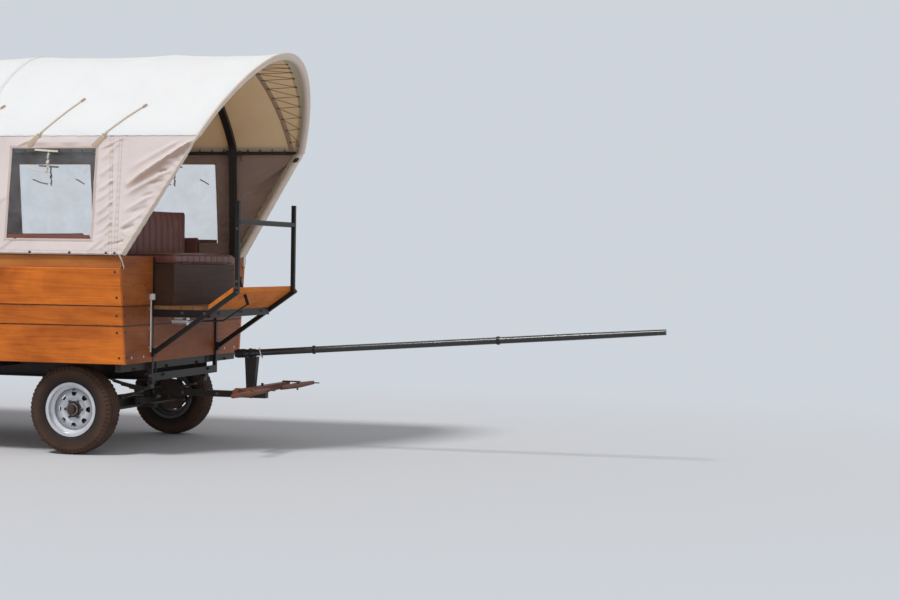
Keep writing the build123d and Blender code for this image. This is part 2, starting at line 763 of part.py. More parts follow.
with BuildPart() as platform_frame:
    for side in (1, -1):
        with BuildSketch(Plane.XY.offset(rail_bottom_z)):
            with Locations((front - post_size / 2, side * post_y)):
                Rectangle(post_size, post_size)
        extrude(amount=top_board_z - rail_bottom_z)
        with BuildSketch(Plane.XY.offset(member_bottom_z)):
            with Locations((front + platform_reach / 2, side * (platform_half - member_width / 2))):
                Rectangle(platform_reach, member_width)
        extrude(amount=member_height)
        with BuildSketch(Plane(origin=(strut_foot_x, side * strut_y, strut_foot_z), z_dir=strut_way)):
            Rectangle(strut_tube, strut_tube)
        extrude(amount=strut_length)
        with BuildSketch(Plane.XY.offset(strut_foot_z - 34.0)):
            with Locations((front + 10.0, side * (post_y + 8.0))):
                Rectangle(20.0, post_size + 10.0)
        extrude(amount=68.0)
        lug_x = front + platform_reach - member_width / 2
        with BuildSketch(Plane.XY.offset(strut_z(lug_x) - 12.0)):
            with Locations((lug_x, side * platform_half)):
                Rectangle(member_width - 6.0, 16.0)
        extrude(amount=20.0)
    with BuildSketch(Plane.XY.offset(member_bottom_z)):
        with Locations((front + platform_reach - member_width / 2, 0)):
            Rectangle(member_width, 2 * platform_half)
    extrude(amount=member_height)
    for low in (rail_bottom_z, member_bottom_z):
        with BuildSketch(Plane.XY.offset(low)):
            with Locations((front - post_size / 2, 0)):
                Rectangle(post_size, 2 * post_y)
        extrude(amount=member_height)
platform_frame.part.label = "platform_frame"
export_step(platform_frame.part, "parts/platform_frame.step")

# Platform deck: boards on the frame
with BuildPart() as platform_deck:
    with BuildSketch(Plane.XY.offset(deck_bottom_z)):
        with Locations((front + (platform_reach - panel_depth) / 2, 0)):
            Rectangle(platform_reach + panel_depth, 2 * (post_inner - seat_gap))
        with Locations((front + seat_gap + (platform_reach - seat_gap) / 2, 0)):
            Rectangle(platform_reach - seat_gap, 2 * platform_half)
    extrude(amount=deck_thickness)
platform_deck.part.label = "platform_deck"
export_step(platform_deck.part, "parts/platform_deck.step")

# Footboard: boards that lie on the struts, from the deck's front edge up to the dash posts
board_low_x = front + platform_reach + seat_gap
board_high_x = front + footboard_reach
board_under = (strut_tube / 2 + seat_gap) / cos(radians(strut_slope))
board_deep = footboard_thickness / cos(radians(strut_slope))
footboard_half = strut_y + strut_tube / 2
pedal_y = -330.0
pedal_thickness = 10.0
pedal_foot = (front + footboard_reach - 15.0, platform_top_z + 7.0)
with BuildPart() as footboard:
    with BuildSketch(Plane.XZ.offset(-footboard_half)):
        with BuildLine():
            Polyline(
                (board_low_x, strut_z(board_low_x) + board_under),
                (board_high_x, strut_z(board_high_x) + board_under),
                (board_high_x, strut_z(board_high_x) + board_under + board_deep),
                (board_low_x, strut_z(board_low_x) + board_under + board_deep),
                close=True,
            )
        make_face()
    extrude(amount=2 * footboard_half)
    with BuildSketch(Plane.XY.offset(platform_top_z)):
        with Locations((pedal_foot[0] - 40.0, pedal_y)):
            Rectangle(70.0, pedal_thickness + 12.0)
    extrude(amount=footboard_top_z - platform_top_z + 40.0, mode=Mode.SUBTRACT)
footboard.part.label = "footboard"
export_step(footboard.part, "parts/footboard.step")

# Dash rail: two posts on the footboard's front edge and the bar that the lines rest on
dash_x = front + footboard_reach + dash_tube / 2 + seat_gap
dash_y = platform_half - dash_tube / 2
with BuildPart() as dash_rail:
    for side in (1, -1):
        with BuildSketch(Plane.XY.offset(footboard_top_z - 60.0)):
            with Locations((dash_x, side * dash_y)):
                Rectangle(dash_tube, dash_tube)
        extrude(amount=dash_top_z - footboard_top_z + 60.0)
    with BuildSketch(Plane.XZ.offset(-dash_y)):
        with Locations((dash_x, dash_bar_z)):
            Circle(dash_bar_tube / 2)
    extrude(amount=2 * dash_y)
dash_rail.part.label = "dash_rail"
export_step(dash_rail.part, "parts/dash_rail.step")

# Brake cylinder: a light alloy body with a reservoir, bolted under the right side member
cylinder_x = front + 214.0
cylinder_y = -platform_half + 62.0
cylinder_z = member_bottom_z - 30.0
with BuildPart() as brake_cylinder:
    with BuildSketch(Plane.YZ.offset(cylinder_x - 80.0)):
        with Locations((cylinder_y, cylinder_z)):
            Circle(24.0)
    extrude(amount=120.0)
    with BuildSketch(Plane.YZ.offset(cylinder_x + 40.0)):
        with Locations((cylinder_y, cylinder_z)):
            Rectangle(44.0, 60.0)
    extrude(amount=10.0)
    with BuildSketch(Plane.YZ.offset(cylinder_x + 50.0)):
        with Locations((cylinder_y, cylinder_z)):
            Circle(10.0)
    extrude(amount=34.0)
    with BuildSketch(Plane.XY.offset(cylinder_z)):
        with Locations((cylinder_x - 24.0, cylinder_y)):
            Rectangle(72.0, 40.0)
    extrude(amount=deck_bottom_z - cylinder_z - seat_gap)
brake_cylinder.part.label = "brake_cylinder"
export_step(brake_cylinder.part, "parts/brake_cylinder.step")

# Brake pedal: an arm through the footboard's slot, its pad above and the rods to the cylinder below
rod_dia = 12.0
pedal_outline = (
    (0.0, 0.0), (22.0, 8.0), (-2.0, 78.0), (-30.0, 128.0), (-50.0, 202.0), (-68.0, 196.0),
    (-50.0, 118.0), (-24.0, 68.0),
)
rod_points = (
    Vector(pedal_foot[0] + 8.0, pedal_y, pedal_foot[1] + 12.0),
    Vector(front + 500.0, -440.0, member_bottom_z - 24.0),
    Vector(front + 302.0, cylinder_y, cylinder_z),
)
with BuildPart() as brake_pedal:
    with BuildSketch(Plane.XZ.offset(-pedal_y - pedal_thickness / 2)):
        with BuildLine():
            Polyline([(pedal_foot[0] + dx, pedal_foot[1] + dz) for dx, dz in pedal_outline], close=True)
        make_face()
    extrude(amount=pedal_thickness)
    pad_place = (pedal_foot[0] - 64.0, pedal_y, pedal_foot[1] + 200.0)
    with BuildSketch(Plane(origin=pad_place, z_dir=(-1, 0, 0.5))):
        RectangleRounded(52.0, 66.0, 8.0)
    extrude(amount=10.0)
    for start, end in zip(rod_points, rod_points[1:]):
        with BuildSketch(Plane(origin=start, z_dir=end - start)):
            Circle(rod_dia / 2)
        extrude(amount=(end - start).length)
        with Locations(start):
            Sphere(rod_dia / 2 + 1.0)
brake_pedal.part.label = "brake_pedal"
export_step(brake_pedal.part, "parts/brake_pedal.step")

# Chassis: two channel rails, cross bearers under the floor and low cross tubes
chassis_front = front - post_size - seat_gap
chassis_rear = front - box_length
with BuildPart() as chassis:
    for side in (1, -1):
        web_y = side * rail_y
        lip_y = side * (rail_y + rail_flange)
        with BuildSketch(Plane.YZ.offset(chassis_rear)):
            with BuildLine():
                Polyline(
                    (web_y, rail_bottom_z), (lip_y, rail_bottom_z),
                    (lip_y, rail_bottom_z + rail_web),
                    (web_y + side * rail_web, rail_bottom_z + rail_web),
                    (web_y + side * rail_web, box_bottom_z - rail_web),
                    (lip_y, box_bottom_z - rail_web), (lip_y, box_bottom_z),
                    (web_y, box_bottom_z),
                    close=True,
                )
            make_face()
        extrude(amount=chassis_front - chassis_rear)
    bearer_half = wall_y(box_bottom_z, plank_thickness)
    bearers_behind = [bearer_end_inset, box_length - bearer_end_inset]
    bearers_behind += [share * box_length for share in bearer_shares]
    for behind in bearers_behind:
        with BuildSketch(Plane.XY.offset(box_bottom_z - bearer_height)):
            with Locations((front - behind, 0)):
                Rectangle(bearer_width, 2 * bearer_half)
        extrude(amount=bearer_height)
    low_tubes = [*cross_tubes_behind, rear_axle_behind - cross_tube_before_axle, rear_axle_behind]
    cross_members = [(behind, rail_bottom_z + 20.0) for behind in low_tubes]
    cross_members.append((front_axle_behind, box_bottom_z - cross_tube))
    for behind, low in cross_members:
        with BuildSketch(Plane.XY.offset(low)):
            with Locations((front - behind, 0)):
                Rectangle(cross_tube, 2 * rail_y + rail_web)
        extrude(amount=cross_tube)
    for axle_behind in (front_axle_behind, rear_axle_behind):
        for end in (-1, 1):
            for side in (1, -1):
                hanger_x = front - axle_behind + end * spring_half
                with BuildSketch(Plane.XY.offset(rail_bottom_z - hanger_height)):
                    with Locations((hanger_x, side * (rail_y + rail_flange / 2))):
                        Rectangle(hanger_length, rail_flange)
                extrude(amount=hanger_height + rail_web)
chassis.part.label = "chassis"
export_step(chassis.part, "parts/chassis.step")

# Leaf springs: five leaves a pack, bent up to an eye at each end
spring_eye_top = rail_bottom_z - hanger_height - seat_gap
spring_y = rail_y + rail_flange / 2
axle_top_z = wheel_z + axle_bar / 2
for name, axle_behind in (("front_springs", front_axle_behind), ("rear_springs", rear_axle_behind)):
    with BuildPart() as springs:
        for side in (1, -1):
            centre_x = front - axle_behind
            pack_top = axle_top_z + seat_gap + spring_leaf * spring_leaves
            for leaf in range(spring_leaves):
                half = spring_half * (1 - 0.17 * leaf)
                sweep_radius = (spring_half ** 2 + spring_camber ** 2) / (2 * spring_camber)
                low = pack_top - spring_leaf * (leaf + 1)
                lift = sweep_radius - sqrt(sweep_radius ** 2 - half ** 2)
                with BuildSketch(Plane.XZ.offset(-side * spring_y - spring_width / 2)):
                    with BuildLine():
                        ThreePointArc(
                            (centre_x - half, low + lift), (centre_x, low), (centre_x + half, low + lift),
                        )
                        ThreePointArc(
                            (centre_x - half, low + lift + spring_leaf), (centre_x, low + spring_leaf),
                            (centre_x + half, low + lift + spring_leaf),
                        )
                        for end in (-1, 1):
                            Line(
                                (centre_x + end * half, low + lift),
                                (centre_x + end * half, low + lift + spring_leaf),
                            )
                    make_face()
                extrude(amount=spring_width)
            eye_low = pack_top - spring_leaf + spring_camber
            for end in (-1, 1):
                with BuildSketch(Plane.XZ.offset(-side * spring_y - spring_width / 2)):
                    with Locations((centre_x + end * spring_half, (eye_low + spring_eye_top) / 2)):
                        Rectangle(spring_eye, spring_eye_top - eye_low)
                extrude(amount=spring_width)
            with BuildSketch(Plane.XY.offset(axle_top_z + seat_gap)):
                with Locations((centre_x, side * spring_y)):
                    Rectangle(96.0, spring_width + 14.0)
            extrude(amount=spring_leaf * spring_leaves + 12.0)
    springs.part.label = name
    export_step(springs.part, f"parts/{name}.step")

# Front axle: a square bar with a yoke and king pin at each end and the pole's pivot lug in front
axle_x = front - front_axle_behind
head_x = axle_x + head_pivot_ahead_of_axle
arm_z = wheel_z - boss_height / 2 + 2.0
boss_low_z = wheel_z - boss_height / 2
boss_high_z = wheel_z + boss_height / 2
lug_low_z = arm_z + steer_arm_thickness + 6.0
lug_high_z = axle_top_z
bar_half = kingpin_y - boss_dia / 2 - 8.0
with BuildPart() as front_axle:
    with BuildSketch(Plane.XZ.offset(-bar_half)):
        with Locations((axle_x, wheel_z)):
            Rectangle(axle_bar, axle_bar)
    extrude(amount=2 * bar_half)
    for side in (1, -1):
        for low in (boss_low_z - yoke_plate - seat_gap, boss_high_z + seat_gap):
            with BuildSketch(Plane.XY.offset(low)):
                with Locations((axle_x, side * (kingpin_y - 40.0))):
                    Rectangle(axle_bar, 80.0)
                with Locations((axle_x, side * kingpin_y)):
                    Circle(axle_bar / 2)
            extrude(amount=yoke_plate)
        with BuildSketch(Plane.XY.offset(boss_low_z - yoke_plate - seat_gap)):
            with Locations((axle_x, side * (bar_half - 16.0))):
                Rectangle(axle_bar, 32.0)
        extrude(amount=boss_height + 2 * yoke_plate + 2 * seat_gap)
        with BuildSketch(Plane.XY.offset(boss_low_z - yoke_plate - seat_gap)):
            with Locations((axle_x, side * kingpin_y)):
                Circle(kingpin_dia / 2)
        extrude(amount=boss_height + 2 * yoke_plate + 2 * seat_gap + 10.0)
    with BuildSketch(Plane.XY.offset(lug_low_z)):
        with Locations((axle_x + axle_bar / 2 + head_pivot_ahead_of_axle / 2 - axle_bar / 4, 0)):
            Rectangle(head_pivot_ahead_of_axle - axle_bar / 2 + 2.0, 76.0)
        with Locations((head_x, 0)):
            Circle(38.0)
    extrude(amount=lug_high_z - lug_low_z)
    with BuildSketch(Plane.XY.offset(lug_low_z)):
        with Locations((head_x, 0)):
            Circle(head_pin_dia / 2 + running_clearance)
    extrude(amount=lug_high_z - lug_low_z, mode=Mode.SUBTRACT)
front_axle.part.label = "front_axle"
export_step(front_axle.part, "parts/front_axle.step")

# Rear axle: a square bar with a round stub at each end and brake backing plates
rear_x = front - rear_axle_behind
disc_face = rim_half - disc_inset
drum_inner_y = track / 2 + disc_face - rim_sheet - drum_width
with BuildPart() as rear_axle:
    with BuildSketch(Plane.XZ.offset(-(drum_inner_y - 30.0))):
        with Locations((rear_x, wheel_z)):
            Rectangle(axle_bar, axle_bar)
    extrude(amount=2 * (drum_inner_y - 30.0))
    for side in (1, -1):
        with BuildSketch(Plane.XZ.offset(-side * (drum_inner_y - 30.0))):
            with Locations((rear_x, wheel_z)):
                Circle(stub_dia / 2)
        extrude(amount=-side * (drum_width + 30.0))
        with BuildSketch(Plane.XZ.offset(-side * (drum_inner_y - 10.0))):
            with Locations((rear_x, wheel_z)):
                Circle(drum_radius)
        extrude(amount=-side * 5.0)
rear_axle.part.label = "rear_axle"
export_step(rear_axle.part, "parts/rear_axle.step")

# Knuckles: a boss on the king pin, a stub for the wheel, a backing plate and a steering arm
for name, side in sides:
    with BuildPart() as knuckle:
        with BuildSketch(Plane.XY.offset(boss_low_z)):
            with Locations((axle_x, side * kingpin_y)):
                Circle(boss_dia / 2)
        extrude(amount=boss_height)
        with BuildSketch(Plane.XZ.offset(-side * kingpin_y)):
            with Locations((axle_x, wheel_z)):
                Circle(stub_dia / 2)
        extrude(amount=-side * (drum_inner_y + drum_width - kingpin_y))
        with BuildSketch(Plane.XZ.offset(-side * (drum_inner_y - 10.0))):
            with Locations((axle_x, wheel_z)):
                Circle(drum_radius)
        extrude(amount=-side * 5.0)
        with BuildSketch(Plane.XY.offset(arm_z)):
            with Locations((axle_x + steer_arm / 2, side * kingpin_y)):
                Rectangle(steer_arm, steer_arm_neck)
            with Locations((axle_x + steer_arm, side * kingpin_y)):
                Circle(steer_arm_width / 2)
        extrude(amount=steer_arm_thickness)
        with BuildSketch(Plane.XY.offset(boss_low_z)):
            with Locations((axle_x, side * kingpin_y)):
                Circle(kingpin_dia / 2 + running_clearance)
            with Locations((axle_x + steer_arm, side * kingpin_y)):
                Circle(joint_pin_dia / 2 + running_clearance)
        extrude(amount=boss_height, mode=Mode.SUBTRACT)
    knuckle.part.label = f"knuckle_{name}"
    export_step(knuckle.part, f"parts/knuckle_{name}.step")

# Steering head: turns about the lug's pin, moves the tie rod and carries the pole's lift pin
head_high_z = lug_high_z + seat_gap
ear_inner = drawbar_width / 2 + 1.0
with BuildPart() as steering_head:
    with BuildSketch(Plane.XY.offset(arm_z)):
        with Locations((head_x + steer_arm / 2, 0)):
            Rectangle(steer_arm, steer_arm_width)
        with Locations((head_x + steer_arm, 0)):
            Circle(steer_arm_width / 2)
        with Locations((head_x, 0)):
            Circle(36.0)
    extrude(amount=steer_arm_thickness)
    with BuildSketch(Plane.XY.offset(arm_z)):
        with Locations((head_x + steer_arm, 0)):
            Circle(joint_pin_dia / 2 + running_clearance)
    extrude(amount=steer_arm_thickness, mode=Mode.SUBTRACT)
    with BuildSketch(Plane.XY.offset(arm_z)):
        with Locations((head_x, 0)):
            Circle(head_pin_dia / 2)
    extrude(amount=head_high_z + head_plate - arm_z)
    stop_x = front + lift_axis_ahead + 60.0
    with BuildSketch(Plane.XY.offset(head_high_z)):
        with Locations(((head_x + stop_x + 24.0) / 2, 0)):
            Rectangle(stop_x + 24.0 - head_x, 2 * ear_inner + 28.0)
        with Locations((head_x, 0)):
            Circle(ear_inner + 14.0)
    extrude(amount=head_plate)
    stop_top = lift_axis_z - drawbar_height / 2 - seat_gap
    with BuildSketch(Plane.XY.offset(head_high_z + head_plate)):
        with Locations((stop_x, 0)):
            Rectangle(48.0, drawbar_width)
    extrude(amount=stop_top - head_high_z - head_plate)
    for side in (1, -1):
        with BuildSketch(Plane.XZ.offset(-side * ear_inner)):
            with Locations((front + lift_axis_ahead, (head_high_z + lift_axis_z) / 2)):
                Rectangle(52.0, lift_axis_z - head_high_z)
            with Locations((front + lift_axis_ahead, lift_axis_z)):
                Circle(26.0)
        extrude(amount=-side * 14.0)
    with BuildSketch(Plane.XZ.offset(-(ear_inner + 14.0))):
        with Locations((front + lift_axis_ahead, lift_axis_z)):
            Circle(lift_pin_dia / 2)
    extrude(amount=2 * (ear_inner + 14.0))
steering_head.part.label = "steering_head"
export_step(steering_head.part, "parts/steering_head.step")

# Tie rod: joins both knuckle arms, with a lug forward to the steering head's arm
rod_x = axle_x + steer_arm
rod_low_z = arm_z + steer_arm_thickness + 1.0
with BuildPart() as tie_rod:
    with BuildSketch(Plane.XY.offset(rod_low_z)):
        with Locations((rod_x, 0)):
            Rectangle(tie_rod_width, 2 * kingpin_y)
        with Locations((rod_x + head_pivot_ahead_of_axle / 2, 0)):
            Rectangle(head_pivot_ahead_of_axle, 44.0)
        for side in (1, -1):
            with Locations((rod_x, side * kingpin_y)):
                Circle(20.0)
        with Locations((rod_x + head_pivot_ahead_of_axle, 0)):
            Circle(22.0)
    extrude(amount=tie_rod_height)
    with BuildSketch(Plane.XY.offset(arm_z)):
        for side in (1, -1):
            with Locations((rod_x, side * kingpin_y)):
                Circle(joint_pin_dia / 2)
        with Locations((rod_x + head_pivot_ahead_of_axle, 0)):
            Circle(joint_pin_dia / 2)
    extrude(amount=rod_low_z - arm_z)
tie_rod.part.label = "tie_rod"
export_step(tie_rod.part, "parts/tie_rod.step")

# Drawbar: the low bar from the steering head, its lift eye and the riser that carries the pole
pole_slope = atan2(pole_tip_z - pole_tail_z, pole_tip_ahead - pole_tail_ahead)
drawbar_front_x = front + riser_foot_ahead + riser_foot_length + 104.0
with BuildPart() as drawbar:
    with BuildSketch(Plane.XZ.offset(-drawbar_width / 2)):
        with BuildLine():
            lift_x = front + lift_axis_ahead
            low = lift_axis_z - drawbar_height / 2
            high = lift_axis_z + drawbar_height / 2
            Polyline(
                (lift_x, low), (drawbar_front_x, low), (drawbar_front_x, high), (lift_x, high), close=True,
            )
        make_face()
        with Locations((lift_x, lift_axis_z)):
            Circle(drawbar_height / 2)
    extrude(amount=drawbar_width)
    with BuildSketch(Plane.XZ.offset(-riser_thickness / 2)):
        with BuildLine():
            riser_x = front + riser_ahead
            foot_x = front + riser_foot_ahead
            top_z = pole_tail_z + (riser_ahead - pole_tail_ahead) * tan(pole_slope) - pole_dia / 2 - 1.0
            top_front_z = top_z + riser_length * tan(pole_slope)
            Polyline(
                (foot_x, high - 1.0), (foot_x + riser_foot_length, high - 1.0),
                (riser_x + riser_length, top_front_z), (riser_x, top_z), close=True,
            )
        make_face()
    extrude(amount=riser_thickness)
    with BuildSketch(Plane.XZ.offset(-drawbar_width / 2)):
        with Locations((front + lift_axis_ahead, lift_axis_z)):
            Circle(lift_pin_dia / 2 + running_clearance)
    extrude(amount=drawbar_width, mode=Mode.SUBTRACT)
    with BuildSketch(Plane.XY.offset(lift_axis_z + drawbar_height / 2 - 1.0)):
        with Locations((front + evener_ahead, 0)):
            Circle(evener_pin_dia / 2)
    extrude(amount=evener_height + 22.0)
drawbar.part.label = "drawbar"
export_step(drawbar.part, "parts/drawbar.step")

# Pole: a tapered steel tube on the riser, with a thicker socket at its tail and a bore at its tip
pole_length = sqrt((pole_tip_ahead - pole_tail_ahead) ** 2 + (pole_tip_z - pole_tail_z) ** 2)
pole_origin = Vector(front + pole_tail_ahead, 0, pole_tail_z)
pole_way = Vector(cos(pole_slope), 0, sin(pole_slope))
socket_length = 175.0
taper_start = pole_length - 700.0
tip_cut = pole_tip_dia / 2 * sin(pole_slope)
with BuildPart() as pole:
    with BuildSketch(Plane(origin=pole_origin, x_dir=pole_way, z_dir=(0, -1, 0))):
        with BuildLine():
            Polyline(
                (0, 0), (0, pole_dia / 2), (socket_length, pole_dia / 2),
                (socket_length, pole_dia / 2 - 5.0), (taper_start, pole_dia / 2 - 5.0),
                (pole_length - tip_cut, pole_tip_dia / 2), (pole_length - tip_cut, 0), close=True,
            )
        make_face()
    revolve(axis=Axis(pole_origin, pole_way))
    pin_centre = pole_origin + pole_way * (pole_length - 60.0)
    with BuildSketch(Plane(origin=pin_centre, x_dir=pole_way, z_dir=(-sin(pole_slope), 0, cos(pole_slope)))):
        Circle(pole_pin_bore / 2)
    extrude(amount=pole_tip_dia, both=True, mode=Mode.SUBTRACT)
pole.part.label = "pole"
export_step(pole.part, "parts/pole.step")

# Evener: a wooden bar that turns on the drawbar's pin, with a clip at each end
evener_low_z = lift_axis_z + drawbar_height / 2 + 0.5
with BuildPart() as evener:
    with BuildSketch(Plane.XY.offset(evener_low_z)):
        with BuildLine():
            x_mid = front + evener_ahead
            Polyline(
                (x_mid - evener_depth / 2, -120.0), (x_mid - 0.36 * evener_depth, -evener_length / 2),
                (x_mid + 0.36 * evener_depth, -evener_length / 2), (x_mid + evener_depth / 2, -120.0),
                (x_mid + evener_depth / 2, 120.0), (x_mid + 0.36 * evener_depth, evener_length / 2),
                (x_mid - 0.36 * evener_depth, evener_length / 2), (x_mid - evener_depth / 2, 120.0),
                close=True,
            )
        make_face()
        with Locations((front + evener_ahead, 0)):
            Circle(evener_pin_dia / 2 + running_clearance, mode=Mode.SUBTRACT)
    extrude(amount=evener_height)
    for side in (1, -1):
        with BuildSketch(Plane.XY.offset(evener_low_z + evener_height)):
            with Locations((front + (evener_ahead + singletree_ahead) / 2, side * singletree_y)):
                Rectangle(singletree_ahead - evener_ahead + link_width, link_width)
        extrude(amount=link_thickness)
        with BuildSketch(Plane.XY.offset(evener_low_z - 14.0)):
            with Locations((front + singletree_ahead, side * singletree_y)):
                Circle(joint_pin_dia / 2)
        extrude(amount=evener_height + 14.0 + link_thickness)
evener.part.label = "evener"
export_step(evener.part, "parts/evener.step")

# Singletrees: turned wooden bars on the evener's pins, with an eye plate at each end
tree_z = evener_low_z + evener_height / 2
for name, side in sides:
    with BuildPart() as singletree:
        tree_x = front + singletree_ahead
        tree_y = side * singletree_y
        with BuildSketch(Plane(origin=(tree_x, tree_y, tree_z), x_dir=(0, 1, 0), z_dir=(1, 0, 0))):
            with BuildLine():
                half = singletree_length / 2
                r_mid, r_end = singletree_dia / 2, singletree_dia / 2 - 7.0
                Polyline(
                    (-half, 0), (-half, r_end), (-60.0, r_mid), (60.0, r_mid), (half, r_end),
                    (half, 0), close=True,
                )
            make_face()
        revolve(axis=Axis((tree_x, tree_y, tree_z), (0, 1, 0)))
        with BuildSketch(Plane.XY.offset(tree_z - singletree_dia)):
            with Locations((tree_x, tree_y)):
                Circle(joint_pin_dia / 2 + running_clearance)
        extrude(amount=2 * singletree_dia, mode=Mode.SUBTRACT)
        for end in (1, -1):
            eye_y = tree_y + end * (singletree_length / 2 - 26.0)
            with BuildSketch(Plane.XY.offset(tree_z - 4.0)):
                with Locations((tree_x + 26.0, eye_y)):
                    Rectangle(52.0, 32.0)
                with Locations((tree_x + 52.0, eye_y)):
                    Circle(16.0)
            extrude(amount=8.0)
            with BuildSketch(Plane.XY.offset(tree_z - 4.0)):
                with Locations((tree_x + 52.0, eye_y)):
                    Circle(trace_hole_dia / 2)
            extrude(amount=8.0, mode=Mode.SUBTRACT)
    singletree.part.label = f"singletree_{name}"
    export_step(singletree.part, f"parts/singletree_{name}.step")

# Wheels: a pressed steel rim and disc with eight windows, hub and brake drum, and its tyre
wheel_rows = [
    (f"{end}_{name}", front - behind, side)
    for end, behind in (("front", front_axle_behind), ("rear", rear_axle_behind))
    for name, side in sides
]
for name, wheel_x, side in wheel_rows:
    centre = (wheel_x, side * track / 2, wheel_z)
    spin_axis = Axis(centre, (0, 1, 0))
    section_plane = Plane(origin=centre, x_dir=(0, side, 0), z_dir=(1, 0, 0))
    sheet = rim_sheet
    with BuildPart() as wheel:
        # Rim section, as axial place and radius, outer surface first and then back inside it
        with BuildSketch(section_plane):
            with BuildLine():
                Polyline(
                    (-rim_half, rim_radius), (-rim_half + sheet, rim_radius),
                    (-rim_half + sheet, bead_radius), (-45.0, bead_radius), (-38.0, well_radius),
                    (24.0, well_radius), (34.0, bead_radius), (rim_half - sheet, bead_radius),
                    (rim_half - sheet, rim_radius), (rim_half, rim_radius),
                    (rim_half, bead_radius - sheet), (38.0, bead_radius - sheet),
                    (28.0, well_radius - sheet), (-41.0, well_radius - sheet),
                    (-48.0, bead_radius - sheet), (-rim_half, bead_radius - sheet), close=True,
                )
            make_face()
        revolve(axis=spin_axis)
        # Disc section, from the rim's well in to the hub's flange
        with BuildSketch(section_plane):
            with BuildLine():
                face = disc_face
                Polyline(
                    (2.0, well_radius - sheet + 1.0), (10.0, well_radius - sheet + 1.0),
                    (face + 6.0, 104.0), (face, 84.0), (face, hub_radius - 4.0),
                    (face - sheet, hub_radius - 4.0), (face - sheet, 84.0), (face, 106.0), close=True,
                )
            make_face()
        revolve(axis=spin_axis)
        # Windows, wider next to the rim
        shoulder = disc_face - sheet - drum_recess
        outward = Plane(origin=centre, x_dir=(1, 0, 0), z_dir=(0, side, 0))
        with BuildSketch(outward.offset(shoulder + 0.5)) as windows:
            with PolarLocations(disc_window_circle, disc_windows, start_angle=90.0):
                Polygon(
                    (-disc_window_depth / 2, -disc_window_narrow / 2),
                    (disc_window_depth / 2, -disc_window_wide / 2),
                    (disc_window_depth / 2, disc_window_wide / 2),
                    (-disc_window_depth / 2, disc_window_narrow / 2), align=None,
                )
            fillet(windows.vertices(), radius=disc_window_narrow / 3)
        extrude(amount=face + 20.0, mode=Mode.SUBTRACT)
        # Hub and drum section, hollow over the stub
        with BuildSketch(section_plane):
            with BuildLine():
                inner = disc_face - rim_sheet - drum_width
                bore = stub_dia / 2 + running_clearance
                Polyline(
                    (inner, drum_radius), (shoulder, drum_radius), (shoulder, hub_radius + 34.0),
                    (disc_face - sheet, hub_radius + 30.0), (disc_face + 4.0, hub_radius + 4.0),
                    (disc_face + hub_nose, hub_radius - 2.0), (disc_face + hub_nose, 0),
                    (disc_face + hub_nose - 12.0, 0),
                    (disc_face - sheet + 0.6, 0), (disc_face - sheet + 0.6, bore), (inner + 6.0, bore),
                    (inner + 6.0, hub_radius + 4.0), (shoulder - 12.0, hub_radius + 8.0),
                    (shoulder - 12.0, drum_radius - 9.0), (inner, drum_radius - 9.0), close=True,
                )
            make_face()
        revolve(axis=spin_axis)
        with BuildSketch(outward.offset(disc_face - 1.0)):
            with PolarLocations(lug_circle, lug_nuts):
                RegularPolygon(lug_size / 2, 6, major_radius=False)
        extrude(amount=lug_height + 1.0)
    wheel.part.label = f"wheel_{name}"
    export_step(wheel.part, f"parts/wheel_{name}.step")

    with BuildPart() as tyre:
        with BuildSketch(section_plane):
            with BuildLine():
                half = tyre_width / 2
                bead = rim_half - sheet - seat_gap
                seat = bead_radius + seat_gap
                tread = half - 22.0
                wall = tyre_wall
                Polyline((-bead + 16.0, seat), (-bead, seat), (-bead, rim_radius + 4.0))
                ThreePointArc((-bead, rim_radius + 4.0), (-half, 272.0), (-tread - 6.0, tyre_radius - 10.0))
                ThreePointArc((-tread - 6.0, tyre_radius - 10.0), (0, tyre_radius), (tread + 6.0, tyre_radius - 10.0))
                ThreePointArc((tread + 6.0, tyre_radius - 10.0), (half, 272.0), (bead, rim_radius + 4.0))
                Polyline((bead, rim_radius + 4.0), (bead, seat), (bead - 16.0, seat))
                Line((bead - 16.0, seat), (bead - wall, rim_radius + 8.0))
                ThreePointArc(
                    (bead - wall, rim_radius + 8.0), (half - wall, 272.0), (tread - 8.0, tyre_radius - 24.0),
                )
                Line((tread - 8.0, tyre_radius - 24.0), (-tread + 8.0, tyre_radius - 24.0))
                ThreePointArc(
                    (-tread + 8.0, tyre_radius - 24.0), (-half + wall, 272.0), (-bead + wall, rim_radius + 8.0),
                )
                Line((-bead + wall, rim_radius + 8.0), (-bead + 16.0, seat))
            make_face()
        revolve(axis=spin_axis)
    tyre.part.label = f"tyre_{name}"
    export_step(tyre.part, f"parts/tyre_{name}.step")

